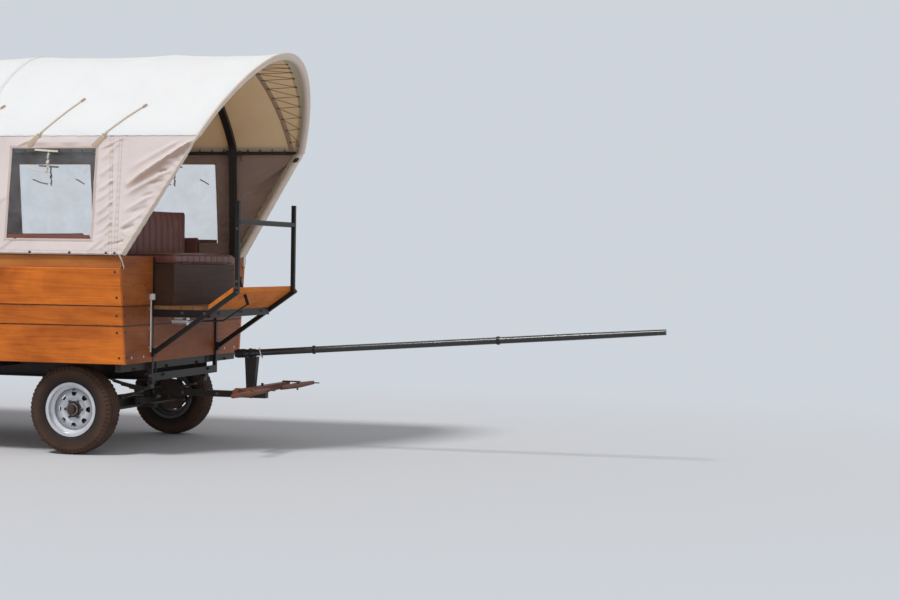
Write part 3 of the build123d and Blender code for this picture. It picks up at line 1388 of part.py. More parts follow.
# Rear door: planks in the doorway on two strap hinges, with eyes round the pins at its left
hinge_x = front - box_length - hinge_pin_dia
hinge_y = doorway_width / 2 + 10.0
strap_height = 50.0
strap_thickness = 8.0
door_heads = [box_bottom_z + sum(plank_heights[:n + 1]) for n in range(len(plank_heights))]
strap_levels = (door_heads[0] - 90.0, door_heads[2] - 90.0)
with BuildPart() as rear_door:
    foot = floor_top_z + door_gap
    for head in door_heads:
        with BuildSketch(Plane.XY.offset(foot)):
            with Locations((front - box_length + plank_thickness / 2, 0)):
                Rectangle(plank_thickness, door_width)
        extrude(amount=head - plank_gap - foot)
        foot = head
    with BuildSketch(Plane.XY.offset(strap_levels[0])):
        with Locations((front - box_length + plank_thickness + 6.0, -door_width / 4)):
            Rectangle(12.0, 70.0)
    extrude(amount=strap_levels[1] - strap_levels[0] + strap_height)
    for z in strap_levels:
        with BuildSketch(Plane.XY.offset(z)):
            with Locations((front - box_length - strap_thickness / 2, 0)):
                Rectangle(strap_thickness, door_width - 40.0)
            with Locations((front - box_length - strap_thickness / 2 - 1.0, (door_width / 2 - 20.0 + hinge_y) / 2)):
                Rectangle(strap_thickness - 2.0, hinge_y - door_width / 2 + 20.0)
            with Locations((hinge_x, hinge_y)):
                Circle(hinge_pin_dia / 2 + 5.0)
            with Locations((hinge_x, hinge_y)):
                Circle(hinge_pin_dia / 2 + running_clearance, mode=Mode.SUBTRACT)
        extrude(amount=strap_height)
rear_door.part.label = "rear_door"
export_step(rear_door.part, "parts/rear_door.step")

# Door pins: two upright pins on angle brackets on the rear boards
with BuildPart() as door_pins:
    for z in strap_levels:
        with BuildSketch(Plane.XY.offset(z - 14.0)):
            with Locations((hinge_x, hinge_y)):
                Circle(hinge_pin_dia / 2)
        extrude(amount=strap_height + 20.0)
        with BuildSketch(Plane.XY.offset(z - 14.0)):
            with Locations((hinge_x + 3.0, hinge_y + 24.0)):
                Rectangle(20.0, 68.0)
        extrude(amount=12.0)
        with BuildSketch(Plane.XY.offset(z - 14.0)):
            with Locations((front - box_length - 4.0 - seat_gap, hinge_y + 40.0)):
                Rectangle(8.0, 40.0)
        extrude(amount=strap_height + 20.0)
door_pins.part.label = "door_pins"
export_step(door_pins.part, "parts/door_pins.step")

# Rear steps: two treads between side plates, hung from the chassis
with BuildPart() as rear_steps:
    for side in (1, -1):
        with BuildSketch(Plane.XZ.offset(-side * (step_width / 2 + 6.0) - 4.0)):
            with BuildLine():
                x_hang = front - box_length + bearer_width + 10.0
                x_back = front - box_length - step_reach
                plate_low = step_tops[1] - step_plate_below
                Polyline(
                    (x_hang - 90.0, box_bottom_z - bearer_height - seat_gap),
                    (x_hang, box_bottom_z - bearer_height - seat_gap),
                    (x_hang, step_tops[0] - step_plate_below - 10.0),
                    (x_back + step_run + 40.0, plate_low), (x_back, plate_low),
                    (x_back, step_tops[1]), (x_back + step_run, step_tops[0]),
                    close=True,
                )
            make_face()
        extrude(amount=8.0)
    for n, top in enumerate(step_tops):
        with BuildSketch(Plane.XY.offset(top - step_tread)):
            with Locations((front - box_length - step_reach + step_depth / 2 + step_run * (1 - n), 0)):
                Rectangle(step_depth, step_width + 4.0)
        extrude(amount=step_tread)
rear_steps.part.label = "rear_steps"
export_step(rear_steps.part, "parts/rear_steps.step")

print("front face X", round(front, 2), "eave angle", round(eave_angle, 2), "haunch", round(haunch_radius, 1))
print("hoop eave angle", round(hoop_eave_angle, 2), "leg lean", round(90 - leg_normal, 2))
print("rail", round(rail_y_centre, 1), round(rail_z_centre, 1), "curtain lean", round(degrees(curtain_lean), 2))
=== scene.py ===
import math
from functools import reduce

import bmesh
import bpy
import numpy as np
from mathutils import Matrix, Vector
from mathutils.bvhtree import BVHTree


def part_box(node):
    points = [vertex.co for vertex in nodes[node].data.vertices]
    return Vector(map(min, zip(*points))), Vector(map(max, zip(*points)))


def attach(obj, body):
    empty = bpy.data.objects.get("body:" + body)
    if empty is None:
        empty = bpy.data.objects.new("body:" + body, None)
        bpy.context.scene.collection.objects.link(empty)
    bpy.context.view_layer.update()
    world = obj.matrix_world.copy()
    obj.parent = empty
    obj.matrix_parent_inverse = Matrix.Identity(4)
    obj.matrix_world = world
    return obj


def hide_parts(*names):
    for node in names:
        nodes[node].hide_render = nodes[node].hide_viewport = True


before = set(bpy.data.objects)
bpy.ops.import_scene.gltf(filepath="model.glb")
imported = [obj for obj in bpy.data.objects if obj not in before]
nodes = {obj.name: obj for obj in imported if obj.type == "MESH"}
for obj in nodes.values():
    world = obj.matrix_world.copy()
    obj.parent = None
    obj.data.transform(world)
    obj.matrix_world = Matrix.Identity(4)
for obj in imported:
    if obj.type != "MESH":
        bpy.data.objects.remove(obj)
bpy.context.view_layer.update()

# Looks of a covered passenger wagon, in metres, with +X forward, +Y left and +Z up
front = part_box("side_planks_left")[1].x  # the box's front face
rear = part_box("side_planks_left")[0].x
print("frame loaded, front face at", round(front, 3))


# ---- shapes: a shape is its points and a list of face arrays

# Quads between the neighbours of a grid of points, closed round either way where asked
def gridFaces(rows, columns, wrapRows=False, wrapColumns=False):
    i = np.arange(rows - (not wrapRows))[:, None]
    j = np.arange(columns - (not wrapColumns))[None, :]
    i2, j2 = (i + 1) % rows, (j + 1) % columns
    return np.stack([i * columns + j, i2 * columns + j, i2 * columns + j2, i * columns + j2], -1).reshape(-1, 4)


def gridShape(points, wrapRows=False, wrapColumns=False):
    rows, columns = points.shape[:2]
    return points.reshape(-1, 3), [gridFaces(rows, columns, wrapRows, wrapColumns)]


# Several shapes as one: the points one after another, and the faces counted on
def joined(shapes):
    points, faces, start = [], [], 0
    for p, f in shapes:
        points.append(p)
        faces += [a + start for a in f]
        start += len(p)
    return np.concatenate(points), faces


# A tube from rings of points, with a flat face at each end
def capped(rings, flip=False):
    count, around = rings.shape[:2]
    first = np.arange(around)[None]
    last = first + around * (count - 1)
    ends = [first, last[:, ::-1]] if flip else [first[:, ::-1], last]
    return rings.reshape(-1, 3), [gridFaces(count, around, False, True)] + ends


# A shape made about the origin with +Z up, turned so that its Z runs along a direction, and moved
def placed(shape, place, along=(0, 0, 1), across=None):
    z = np.array(along, float) / np.linalg.norm(along)
    x = np.array(across if across is not None else ((1, 0, 0) if abs(z[0]) < 0.9 else (0, 1, 0)), float)
    x = x - z * (x @ z)
    x /= np.linalg.norm(x)
    turn = np.stack([x, np.cross(z, x), z])
    return shape[0] @ turn + np.asarray(place, float), shape[1]


# A profile of height and radius pairs, turned round the Z axis
def spun(profile, sides=32, closed=False):
    profile = np.asarray(profile, float)
    t = np.linspace(0, 2 * np.pi, sides, endpoint=False)
    r = profile[:, 1][:, None]
    points = np.stack([r * np.cos(t), r * np.sin(t), profile[:, 0][:, None] + 0 * t], -1)
    return gridShape(points, True, True) if closed else capped(points)


# A round section carried along a path: centre + r (cos t side + sin t lift)
def tube(path, radius, sides=8, closed=False, up=(0, 0, 1)):
    path = np.asarray(path, float)
    run = np.roll(path, -1, 0) - np.roll(path, 1, 0) if closed else np.gradient(path, axis=0)
    run /= np.linalg.norm(run, axis=1)[:, None]
    side = np.cross(run, np.asarray(up, float))
    side /= np.linalg.norm(side, axis=1)[:, None] + 1e-9
    lift = np.cross(side, run)
    t = np.linspace(0, 2 * np.pi, sides, endpoint=False)[None, :, None]
    r = np.broadcast_to(np.asarray(radius, float), (len(path),))[:, None, None]
    points = path[:, None] + r * (np.cos(t) * side[:, None] + np.sin(t) * lift[:, None])
    return gridShape(points, True, True) if closed else capped(points, flip=True)


# A block with rounded corners and a bevelled top and bottom: rounded outlines stacked along Z
def roundedBlock(size, corner=0.004, bevel=0.002):
    w, d, h = size
    corner = min(corner, w / 2 - 1e-5, d / 2 - 1e-5)
    steps = 4  # round each corner
    quarter = np.concatenate([np.linspace(0, np.pi / 2, steps) + k * np.pi / 2 for k in range(4)])
    x = np.repeat([1, -1, -1, 1], steps) * (w / 2 - corner) + corner * np.cos(quarter)
    y = np.repeat([1, 1, -1, -1], steps) * (d / 2 - corner) + corner * np.sin(quarter)
    rings = []
    for z, inset in ((-h / 2, bevel), (-h / 2 + bevel, 0), (h / 2 - bevel, 0), (h / 2, bevel)):
        k = 1 - 2 * inset / min(w, d)
        rings.append(np.stack([x * k, y * k, 0 * x + z], -1))
    return capped(np.array(rings))


# A flat band: a thin oblong section carried along a path, its width along the given directions
def band(path, across, width, thickness):
    path = np.asarray(path, float)
    run = np.gradient(path, axis=0)
    run /= np.linalg.norm(run, axis=1)[:, None]
    across = np.broadcast_to(np.asarray(across, float), path.shape)
    across = across - run * (across * run).sum(1)[:, None]
    across = across / np.linalg.norm(across, axis=1)[:, None]
    lift = np.cross(run, across)
    section = np.array([(-1, -0.4), (-1, 0.4), (-0.94, 1), (0.94, 1), (1, 0.4), (1, -0.4), (0.94, -1), (-0.94, -1)])
    half = np.broadcast_to(np.asarray(width, float), (len(path),))[:, None, None] / 2
    points = path[:, None] + half * section[None, :, :1] * across[:, None]
    return capped(points + thickness / 2 * section[None, :, 1:] * lift[:, None])


# A flat band that lies on a surface which faces the given way
def strip(path, out, width, thickness):
    return band(path, np.cross(np.gradient(path, axis=0), out), width, thickness)


# Length along a path from its start to each of its points
def reachAlong(path):
    return np.concatenate([[0], np.cumsum(np.linalg.norm(np.diff(path, axis=0), axis=1))])


# Each column of some rows of points, looked up at places along them
def interpolated(places, reach, points):
    return np.stack([np.interp(places, reach, column) for column in np.asarray(points).T], -1)


# Evenly spaced places along a path, and the path's direction there
def walk(path, pitch):
    path = np.asarray(path, float)
    reach = reachAlong(path)
    at = np.arange(pitch / 2, reach[-1] - pitch / 2 + 1e-9, pitch)
    ahead = interpolated(at + pitch * 0.1, reach, path) - interpolated(at - pitch * 0.1, reach, path)
    return interpolated(at, reach, path), ahead / np.linalg.norm(ahead, axis=1)[:, None]


# Stitches: a small block every so far along a path that lies on a surface with the given outward directions
def stitches(path, out, pitch=0.010, length=0.006, width=0.0016, height=0.0012):
    places, run = walk(path, pitch)
    out = np.asarray(out, float)
    if out.ndim > 1:
        out = interpolated(np.linspace(0, 1, len(places)), np.linspace(0, 1, len(out)), out)
    out = np.broadcast_to(out, places.shape)
    side = np.cross(run, out)
    x, y, z = (np.array([(x, y, z) for z in (-1, 1) for y in (-1, 1) for x in (-1, 1)], float) / 2).T[:, None, :, None]
    points = places[:, None] + x * run[:, None] * length + y * side[:, None] * width + z * out[:, None] * height
    block = np.array([(0, 2, 3, 1), (4, 5, 7, 6), (0, 1, 5, 4), (2, 6, 7, 3), (0, 4, 6, 2), (1, 3, 7, 5)])
    steps = np.arange(len(places))[:, None, None] * 8
    return points.reshape(-1, 3), [(block[None] + steps).reshape(-1, 4)]


# A ring with a round section about the Z axis
def ring(radius, thick, sides=16, around=6):
    t = np.linspace(0, 2 * np.pi, around, endpoint=False)
    return spun(np.stack([thick * np.sin(t), radius + thick * np.cos(t)], -1), sides, closed=True)


# A low domed head about the Z axis, standing on z = 0
def domeHead(radius, height, sides=12):
    t = np.linspace(0, np.pi / 2, 4)
    profile = [(0.0, radius)] + [(height * (0.35 + 0.65 * math.sin(a)), radius * math.cos(a) + 1e-5) for a in t]
    return spun(profile, sides)


# A hexagon nut on a washer, with the bolt's end through it
def hexNut(flats, height, bolt):
    r, shank, top = flats / math.sqrt(3), flats * 0.28, height + bolt
    return joined([
        spun([(0, r * 1.35), (0.0025, r * 1.35), (0.003, r * 1.28)], 14),
        spun([(0.002, r * 0.97), (0.004, r), (height - 0.002, r), (height, r * 0.86)], 6),
        spun([(height - 0.001, shank), (top, shank), (top + 0.0015, flats * 0.2)], 10),
    ])


# One shape at many places, turned the same way
def scattered(shape, places, along):
    return joined([placed(shape, place, along) for place in places])


# Smooth unevenness in metres: the mean of sine waves in several directions
def unevenness(u, v, wavelength, seed):
    rng = np.random.default_rng(seed)
    total, waves = 0, 7
    for _ in range(waves):
        a = rng.uniform(0, np.pi)
        k = 2 * np.pi / (wavelength * rng.uniform(0.6, 1.7))
        shift = rng.uniform(0, 6.3)
        total = total + np.sin((u * np.cos(a) + v * np.sin(a)) * k + shift)
    return total / waves


# Points along a smooth curve through a few given ones (Catmull-Rom), the same number in each span
def smoothThrough(points, steps=8, closed=False):
    p = np.asarray(points, float)
    before, after = (p[-1:], p[:2]) if closed else (2 * p[:1] - p[1:2], 2 * p[-1:] - p[-2:-1])
    q = np.concatenate([before, p, after])
    t = np.linspace(0, 1, steps, endpoint=False)[None, :, None]
    a, b, c, d = (q[k:len(q) - 3 + k][:, None] for k in range(4))
    out = 0.5 * (2 * b + (c - a) * t + (2 * a - 5 * b + 4 * c - d) * t ** 2 + (3 * b - a - 3 * c + d) * t ** 3)
    out = out.reshape(-1, p.shape[1])
    return out if closed else np.concatenate([out, p[-1:]])


# Makes the mesh object from one shape or a list of them, and lets it ride on a body
def makePiece(name, shapes, *labels, body="wagon", slot=None, uv=None, smooth=40, isSheet=False):
    points, faces = joined(shapes) if isinstance(shapes, list) else shapes
    mesh = bpy.data.meshes.new(name)
    mesh.from_pydata(points.tolist(), [], [row for a in faces for row in a.tolist()])
    if not isSheet:
        work = bmesh.new()
        work.from_mesh(mesh)
        bmesh.ops.recalc_face_normals(work, faces=work.faces)
        work.to_mesh(mesh)
        work.free()
    if uv is not None:
        corner = np.zeros(len(mesh.loops), int)
        mesh.loops.foreach_get("vertex_index", corner)
        layer = mesh.uv_layers.new(name="clothMetres")
        layer.data.foreach_set("uv", uv.reshape(-1, 2)[corner].ravel())
    mesh.polygons.foreach_set("use_smooth", np.ones(len(mesh.polygons), bool))
    mesh.set_sharp_from_angle(angle=math.radians(smooth))
    mesh.update()
    piece = bpy.data.objects.new(name, mesh)
    bpy.context.scene.collection.objects.link(piece)
    for label in labels:
        mesh.materials.append(finish[label])
    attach(piece, body)
    return piece


# A piece of cloth: an open surface that gets a wall; its inside and rim may have finishes of their own
def makeSheet(name, shape, labels, thickness, uv=None, offset=0.0, inside=0, rim=0):
    piece = makePiece(name, shape, *labels, uv=uv, isSheet=True)
    wall = piece.modifiers.new("thickness", "SOLIDIFY")
    wall.thickness, wall.offset = thickness, offset
    wall.material_offset, wall.material_offset_rim = inside, rim
    wall.use_even_offset = False
    return piece


# ---- camera, at the photograph's place

cameraValues = dict(place=(6.737, -14.118, 1.524), turn=0.2705, pitch=-0.0208, roll=0.0147, lens=75.51)


def makeCamera():
    c = cameraValues
    level = math.cos(c["pitch"])
    ahead = Vector((-math.sin(c["turn"]) * level, math.cos(c["turn"]) * level, math.sin(c["pitch"])))
    right = Vector((math.cos(c["turn"]), math.sin(c["turn"]), 0))
    up = right.cross(ahead)
    rolledRight = right * math.cos(c["roll"]) + up * math.sin(c["roll"])
    rolledUp = up * math.cos(c["roll"]) - right * math.sin(c["roll"])
    data = bpy.data.cameras.new("photoCamera")
    data.sensor_width, data.lens, data.clip_end = 36.0, c["lens"], 200
    camera = bpy.data.objects.new("photoCamera", data)
    bpy.context.scene.collection.objects.link(camera)
    turn = Matrix((rolledRight, rolledUp, -ahead)).transposed().to_4x4()
    camera.matrix_world = Matrix.Translation(c["place"]) @ turn
    bpy.context.scene.camera = camera


makeCamera()
print("camera made")


# ---- node helpers

# Adds nodes to one tree; a value is a number, a colour or another node's output
class nodeMaker:
    def __init__(self, tree):
        self.tree = tree

    def feed(self, socket, value):
        if isinstance(value, bpy.types.NodeSocket):
            self.tree.links.new(value, socket)
        elif socket.type == "RGBA" and len(value) == 3:
            socket.default_value = (*value, 1)
        else:
            socket.default_value = value

    def fill(self, made, values):
        for key, value in values.items():
            self.feed(made.inputs[key], value)
        return made

    # Names of the node's sockets in values, names of its settings as keywords
    def add(self, kind, values=None, **settings):
        made = self.tree.nodes.new("ShaderNode" + kind)
        for key, value in settings.items():
            setattr(made, key, value)
        return self.fill(made, values or {})

    def math(self, operation, *values, clamp=False):
        return self.add("Math", dict(enumerate(values)), operation=operation, use_clamp=clamp).outputs[0]

    def times(self, a, b, clamp=False):
        return self.math("MULTIPLY", a, b, clamp=clamp)

    def plus(self, a, b, clamp=False):
        return self.math("ADD", a, b, clamp=clamp)

    # A value times a factor, plus a start
    def sloped(self, value, factor, start):
        return self.math("MULTIPLY_ADD", value, factor, start)

    def vector(self, operation, *values):
        made = self.add("VectorMath", dict(enumerate(values)), operation=operation)
        return made.outputs["Value" if operation in ("LENGTH", "DOT_PRODUCT") else 0]

    def split(self, vector):
        return self.add("SeparateXYZ", {0: vector}).outputs

    def normal(self):
        return self.add("NewGeometry").outputs["Normal"]

    def noise(self, vector, scale, detail, **more):
        more = {label.title(): value for label, value in more.items()}
        return self.add("TexNoise", {"Vector": vector, "Scale": scale, "Detail": detail, **more}).outputs["Fac"]

    # A value moved from one range to another, and held inside it
    def fit(self, value, low, high, toLow=0.0, toHigh=1.0, kind="LINEAR"):
        values = {"Value": value, "From Min": low, "From Max": high, "To Min": toLow, "To Max": toHigh}
        return self.add("MapRange", values, clamp=True, interpolation_type=kind).outputs[0]

    def mix(self, factor, a, b):
        return self.fill(self.add("Mix", data_type="RGBA"), {0: factor, 6: a, 7: b}).outputs[2]

    def bright(self, colour, value):
        return self.add("HueSaturation", {"Color": colour, "Value": value}).outputs[0]

    def group(self, group, **values):
        return self.add("Group", values, node_tree=group).outputs

    def bump(self, shader, height, distance, strength):
        bump = self.add("Bump", {"Height": height, "Distance": distance, "Strength": strength})
        self.feed(shader.inputs["Normal"], bump.outputs[0])


# A node group: a default of None makes a vector input, a tuple a colour and a number a value
def newGroup(name, inputs, outputs):
    group = bpy.data.node_groups.new(name, "ShaderNodeTree")
    for label, value in inputs.items():
        kind = "Vector" if value is None else "Color" if isinstance(value, tuple) else "Float"
        socket = group.interface.new_socket(name=label, in_out="INPUT", socket_type="NodeSocket" + kind)
        if value is not None:
            socket.default_value = value
    for label in outputs:
        kind = "Color" if label == "Color" else "Float"
        group.interface.new_socket(name=label, in_out="OUTPUT", socket_type="NodeSocket" + kind)
    return nodeMaker(group), group.nodes.new("NodeGroupInput").outputs, group.nodes.new("NodeGroupOutput")


# Wood: growth lines are bands across the grain bent by noise, with fine pores, knots and blotches
def makeWoodGroup():
    inputs = {"Vector": None, "Shift": 0.0, "Light": (0.6, 0.3, 0.1, 1), "Dark": (0.3, 0.1, 0.03, 1), "Knots": 0.5}
    n, given, out = newGroup("woodGrain", inputs, ("Color", "Roughness", "Height"))
    shift = n.add("CombineXYZ", {0: n.times(given["Shift"], 7.3), 1: n.times(given["Shift"], 2.1)}).outputs[0]
    moved = n.vector("ADD", given["Vector"], shift)
    bent, fine, coarse, cloudy = (
        n.vector("MULTIPLY", moved, stretch)
        for stretch in ((0.34, 5.2, 5.2), (2.2, 120.0, 120.0), (1.15, 4.2, 4.2), (1.6, 3.0, 3.0))
    )
    bands = n.math("SINE", n.times(n.noise(bent, 1.0, 2.5, distortion=0.35), 88.0))
    bands = n.sloped(bands, 0.5, 0.5)
    streaks = n.noise(fine, 1.0, 3.0)
    cells = n.add("TexVoronoi", {"Vector": coarse, "Scale": 1.0, "Randomness": 1.0}).outputs["Distance"]
    knots = n.times(n.fit(cells, 0.03, 0.11, 1.0, 0.0), given["Knots"])
    blotch = n.noise(cloudy, 1.0, 5.0, roughness=0.6, distortion=0.6)
    tone = n.plus(n.times(bands, 0.13), n.times(streaks, 0.6))
    tone = n.plus(tone, n.sloped(blotch, 1.8, -0.84), clamp=True)
    tone = n.plus(tone, n.times(knots, 0.75), clamp=True)
    n.fill(out, {
        "Color": n.mix(tone, given["Light"], given["Dark"]),
        "Roughness": n.sloped(streaks, 0.25, 0.36),
        "Height": n.plus(n.times(streaks, 0.7), n.times(bands, 0.3)),
    })
    return n.tree


# Cloth: two sets of threads at right angles as sines of the cloth's own metres, with slubs and soil
def makeClothGroup():
    n, given, out = newGroup("clothWeave", {"Vector": None, "Threads": 700.0, "Soil": 0.3}, ("Shade", "Soil", "Height"))
    place = given["Vector"]
    across = n.split(place)
    rate = n.times(given["Threads"], 2 * math.pi)
    weave = n.times(n.math("SINE", n.times(across[0], rate)), n.math("SINE", n.times(across[1], rate)))
    slub = n.noise(n.vector("MULTIPLY", place, (60.0, 420.0, 60.0)), 1.0, 2.0)
    soil = n.fit(n.noise(place, 2.6, 5.0, roughness=0.6), 0.42, 0.75)
    speck = n.fit(n.noise(place, 19.0, 4.0), 0.6, 0.8)
    n.fill(out, {
        "Shade": n.plus(n.times(weave, 0.04), n.sloped(slub, 0.12, 0.9)),
        "Soil": n.times(n.plus(soil, n.times(speck, 0.5)), given["Soil"], clamp=True),
        "Height": n.plus(n.times(weave, 0.3), slub),
    })
    return n.tree


# Edge wear: where a rounded normal leaves the true one, broken up by noise
def makeWearGroup():
    n, given, out = newGroup("edgeWear", {"Vector": None, "Radius": 0.003, "Amount": 0.6}, ("Mask",))
    rounded = n.add("Bevel", {"Radius": given["Radius"]}, samples=4).outputs[0]
    edge = n.fit(n.vector("DOT_PRODUCT", rounded, n.normal()), 0.97, 0.80)
    broken = n.fit(n.noise(given["Vector"], 26.0, 5.0), 0.35, 0.6)
    n.fill(out, {"Mask": n.times(n.times(edge, broken), given["Amount"], clamp=True)})
    return n.tree


# Dust: more on faces that look up and on what is near the ground, in clouds
def makeDustGroup():
    n, given, out = newGroup("roadDust", {"Vector": None, "Amount": 0.4, "Top": 0.9}, ("Mask",))
    upward = n.fit(n.split(n.normal())[2], -0.2, 1.0, 0.25, 1.0)
    low = n.fit(n.split(given["Vector"])[2], given["Top"], 0.0, 0.25, 1.0)
    patch = n.fit(n.noise(given["Vector"], 9.0, 6.0, roughness=0.65), 0.3, 0.7)
    n.fill(out, {"Mask": n.times(n.times(upward, low), n.times(patch, given["Amount"]), clamp=True)})
    return n.tree


woodGroup, clothGroup, wearGroup, dustGroup = makeWoodGroup(), makeClothGroup(), makeWearGroup(), makeDustGroup()


topSeam = 1.4  # a seam above this height is the top plank's upper edge


def newMaterial(name):
    material = bpy.data.materials.new(name)
    material.use_nodes = True
    n = nodeMaker(material.node_tree)
    return material, n, n.tree.nodes["Principled BSDF"], n.add("TexCoord").outputs["Object"]


# Stained boards along X or Y: one tone per board, darker in the seams given by height
def woodMaterial(
    name, light, dark, along="X", seams=(), knots=0.5, rough=0.0, coat=0.05, dust=0.25, boardWidth=None, shine=0.2,
):
    material, n, shader, place = newMaterial(name)
    axis = n.split(place)
    order = {"X": (0, 1, 2), "Y": (1, 0, 2)}[along]
    vector = n.add("CombineXYZ", {k: axis[order[k]] for k in range(3)}).outputs[0]
    board = n.math("DIVIDE", axis[order[1]], boardWidth) if boardWidth else None
    numbers, gaps = [n.math("FLOOR", board)] if boardWidth else [], []
    for level in seams:  # counts the seams below this point, and how far the nearest is
        numbers.append(n.math("GREATER_THAN", axis[2], level))
        if level < topSeam:  # the top plank's upper edge is in the sun
            gaps.append(n.math("ABSOLUTE", n.math("SUBTRACT", axis[2], level)))
    number = reduce(n.plus, numbers) if numbers else n.add("Value").outputs[0]
    wood = n.group(woodGroup, Vector=vector, Shift=number, Light=light, Dark=dark, Knots=knots)
    tone = n.add("TexWhiteNoise", {"W": number}, noise_dimensions="1D").outputs["Value"]
    colour = n.bright(wood["Color"], n.sloped(tone, 0.22, 0.89))
    if boardWidth:  # a dark line between boards
        part = n.math("FRACT", board)
        edge = n.math("MINIMUM", part, n.math("SUBTRACT", 1.0, part))
        colour = n.mix(n.fit(edge, 0.0, 0.035, 0.85, 0.0), colour, (0.02, 0.012, 0.008))
    if gaps:  # dirt gathers in the seams
        nearest = reduce(lambda a, b: n.math("MINIMUM", a, b), gaps)
        colour = n.mix(n.fit(nearest, 0.002, 0.009, 0.92, 0.0), colour, (0.035, 0.014, 0.006))
    # lighter worn edges, which also paint the highlight along the boards' edges
    edges = n.group(wearGroup, Vector=place, Radius=0.004, Amount=0.55)[0]
    colour = n.mix(edges, colour, (light[0] * 0.6 + 0.3, light[1] * 0.9 + 0.22, light[2] + 0.14))
    dusty = n.group(dustGroup, Vector=place, Amount=dust, Top=1.6)[0]
    n.fill(shader, {
        "Base Color": n.mix(dusty, colour, (0.32, 0.14, 0.06)),
        "Roughness": n.plus(wood["Roughness"], rough, clamp=True),
        "Specular IOR Level": shine, "Coat Weight": coat, "Coat Roughness": 0.35,
    })
    n.bump(shader, wood["Height"], 0.0012, 0.5)
    return material


# Painted or bare metal: colour worn to bare or rusty at its edges, rust clouds and road dust
def metalMaterial(
    name, colour, rough, metallic=0.0, worn=(0.35, 0.33, 0.31), wear=0.6, rust=0.0, dust=0.4, coat=0.0,
    grain=0.0004, dustTop=0.9, shine=0.5, shadeWithin=0.0,
):
    material, n, shader, place = newMaterial(name)
    fine = n.noise(place, 140.0, 3.0)
    cloud = n.noise(place, 11.0, 7.0, roughness=0.65)
    rusty = n.fit(cloud, 0.62 - 0.35 * rust, 0.78 - 0.2 * rust, 0.0, min(1.0, rust * 1.6))
    paint = n.mix(rusty, n.bright(colour, n.sloped(cloud, 0.5, 0.75)), (0.17, 0.065, 0.03))
    edges = n.group(wearGroup, Vector=place, Radius=0.003, Amount=wear)[0]
    paint = n.mix(edges, paint, worn)
    dusty = n.group(dustGroup, Vector=place, Amount=dust, Top=dustTop)[0]
    paint = n.mix(dusty, paint, (0.33, 0.22, 0.15))
    dull = n.math("MAXIMUM", dusty, rusty)
    if shadeWithin:  # painted shade: what lies nearer the middle of the wagon is darkened, for the shade on the wheels' inner sides
        reach = n.math("ABSOLUTE", n.split(place)[1])
        innerShade = n.fit(reach, shadeWithin, shadeWithin - 0.025, 0.0, 0.93)
        paint = n.mix(innerShade, paint, (0.035, 0.026, 0.021))
        dull = n.math("MAXIMUM", dull, innerShade)
    bare = n.math("MAXIMUM", n.times(edges, 0.7), metallic)
    n.fill(shader, {
        "Base Color": paint, "Specular IOR Level": shine, "Coat Weight": coat,
        "Roughness": n.plus(n.sloped(fine, 0.12, rough - 0.06), n.times(dull, 0.4), clamp=True),
        "Metallic": n.times(bare, n.math("SUBTRACT", 1.0, dull)),
    })
    n.bump(shader, n.plus(fine, n.times(rusty, 0.8)), grain, 0.6)
    return material


# Cloth on the piece's own metres, or on its place in space
def clothMaterial(name, colour, soiled, threads=700.0, soil=0.35, ownMetres=True, glow=0.0, downFacingShade=None):
    material, n, shader, place = newMaterial(name)
    vector = n.add("UVMap", uv_map="clothMetres").outputs[0] if ownMetres else place
    cloth = n.group(clothGroup, Vector=vector, Threads=threads, Soil=soil)
    shaded = n.mix(cloth["Soil"], n.bright(colour, cloth["Shade"]), soiled)
    if downFacingShade:  # painted shade: folds that face down take a warm brown, as they would in shade lit only from the ground
        shaded = n.mix(n.fit(n.split(n.normal())[2], 0.06, -0.38, 0.0, 0.85), shaded, downFacingShade)
    n.fill(shader, {"Base Color": shaded, "Roughness": 0.85, "Sheen Weight": 0.15})
    if glow:  # light that comes through the sheet
        n.fill(shader, {
            "Subsurface Weight": glow, "Subsurface Radius": (1.0, 0.72, 0.45), "Subsurface Scale": 0.012,
        })
    n.bump(shader, cloth["Height"], 0.0008, 0.35)
    return material


# Rubber: nearly black, browned by dust, with fine grain
def rubberMaterial(name, colour, dust, axles=None):
    material, n, shader, place = newMaterial(name)
    fine = n.noise(place, 90.0, 5.0)
    dusty = n.fit(n.noise(place, 7.0, 5.0), 0.25, 0.75, dust * 0.4, dust)
    if axles:  # darker next to the rim, where the dust mask fades out: both axles lie equally far from their middle
        middle, apart, height, darkWithin, evenFrom = axles
        x, _, z = n.split(place)
        along = n.math("SUBTRACT", n.math("ABSOLUTE", n.math("SUBTRACT", x, middle)), apart)
        away = n.add("CombineXYZ", {0: along, 1: n.math("SUBTRACT", z, height)}).outputs[0]
        dusty = n.times(dusty, n.fit(n.vector("LENGTH", away), darkWithin, evenFrom, 0.12, 1.0, "SMOOTHSTEP"))
    n.fill(shader, {
        "Base Color": n.mix(dusty, colour, (0.125, 0.060, 0.034)), "Specular IOR Level": 0.3,
        "Roughness": n.sloped(fine, 0.2, 0.68),
    })
    n.bump(shader, fine, 0.0006, 0.6)
    return material


# Upholstery: pebbled skin from cells, with worn high places
def hideMaterial(name, colour, worn):
    material, n, shader, place = newMaterial(name)
    cells = n.add("TexVoronoi", {"Vector": place, "Scale": 420.0}, feature="DISTANCE_TO_EDGE").outputs["Distance"]
    rubbed = n.fit(n.noise(place, 6.0, 6.0), 0.5, 0.72)
    n.fill(shader, {"Base Color": n.mix(rubbed, colour, worn), "Roughness": n.sloped(rubbed, 0.2, 0.42)})
    n.bump(shader, cells, 0.0006, 0.6)
    return material


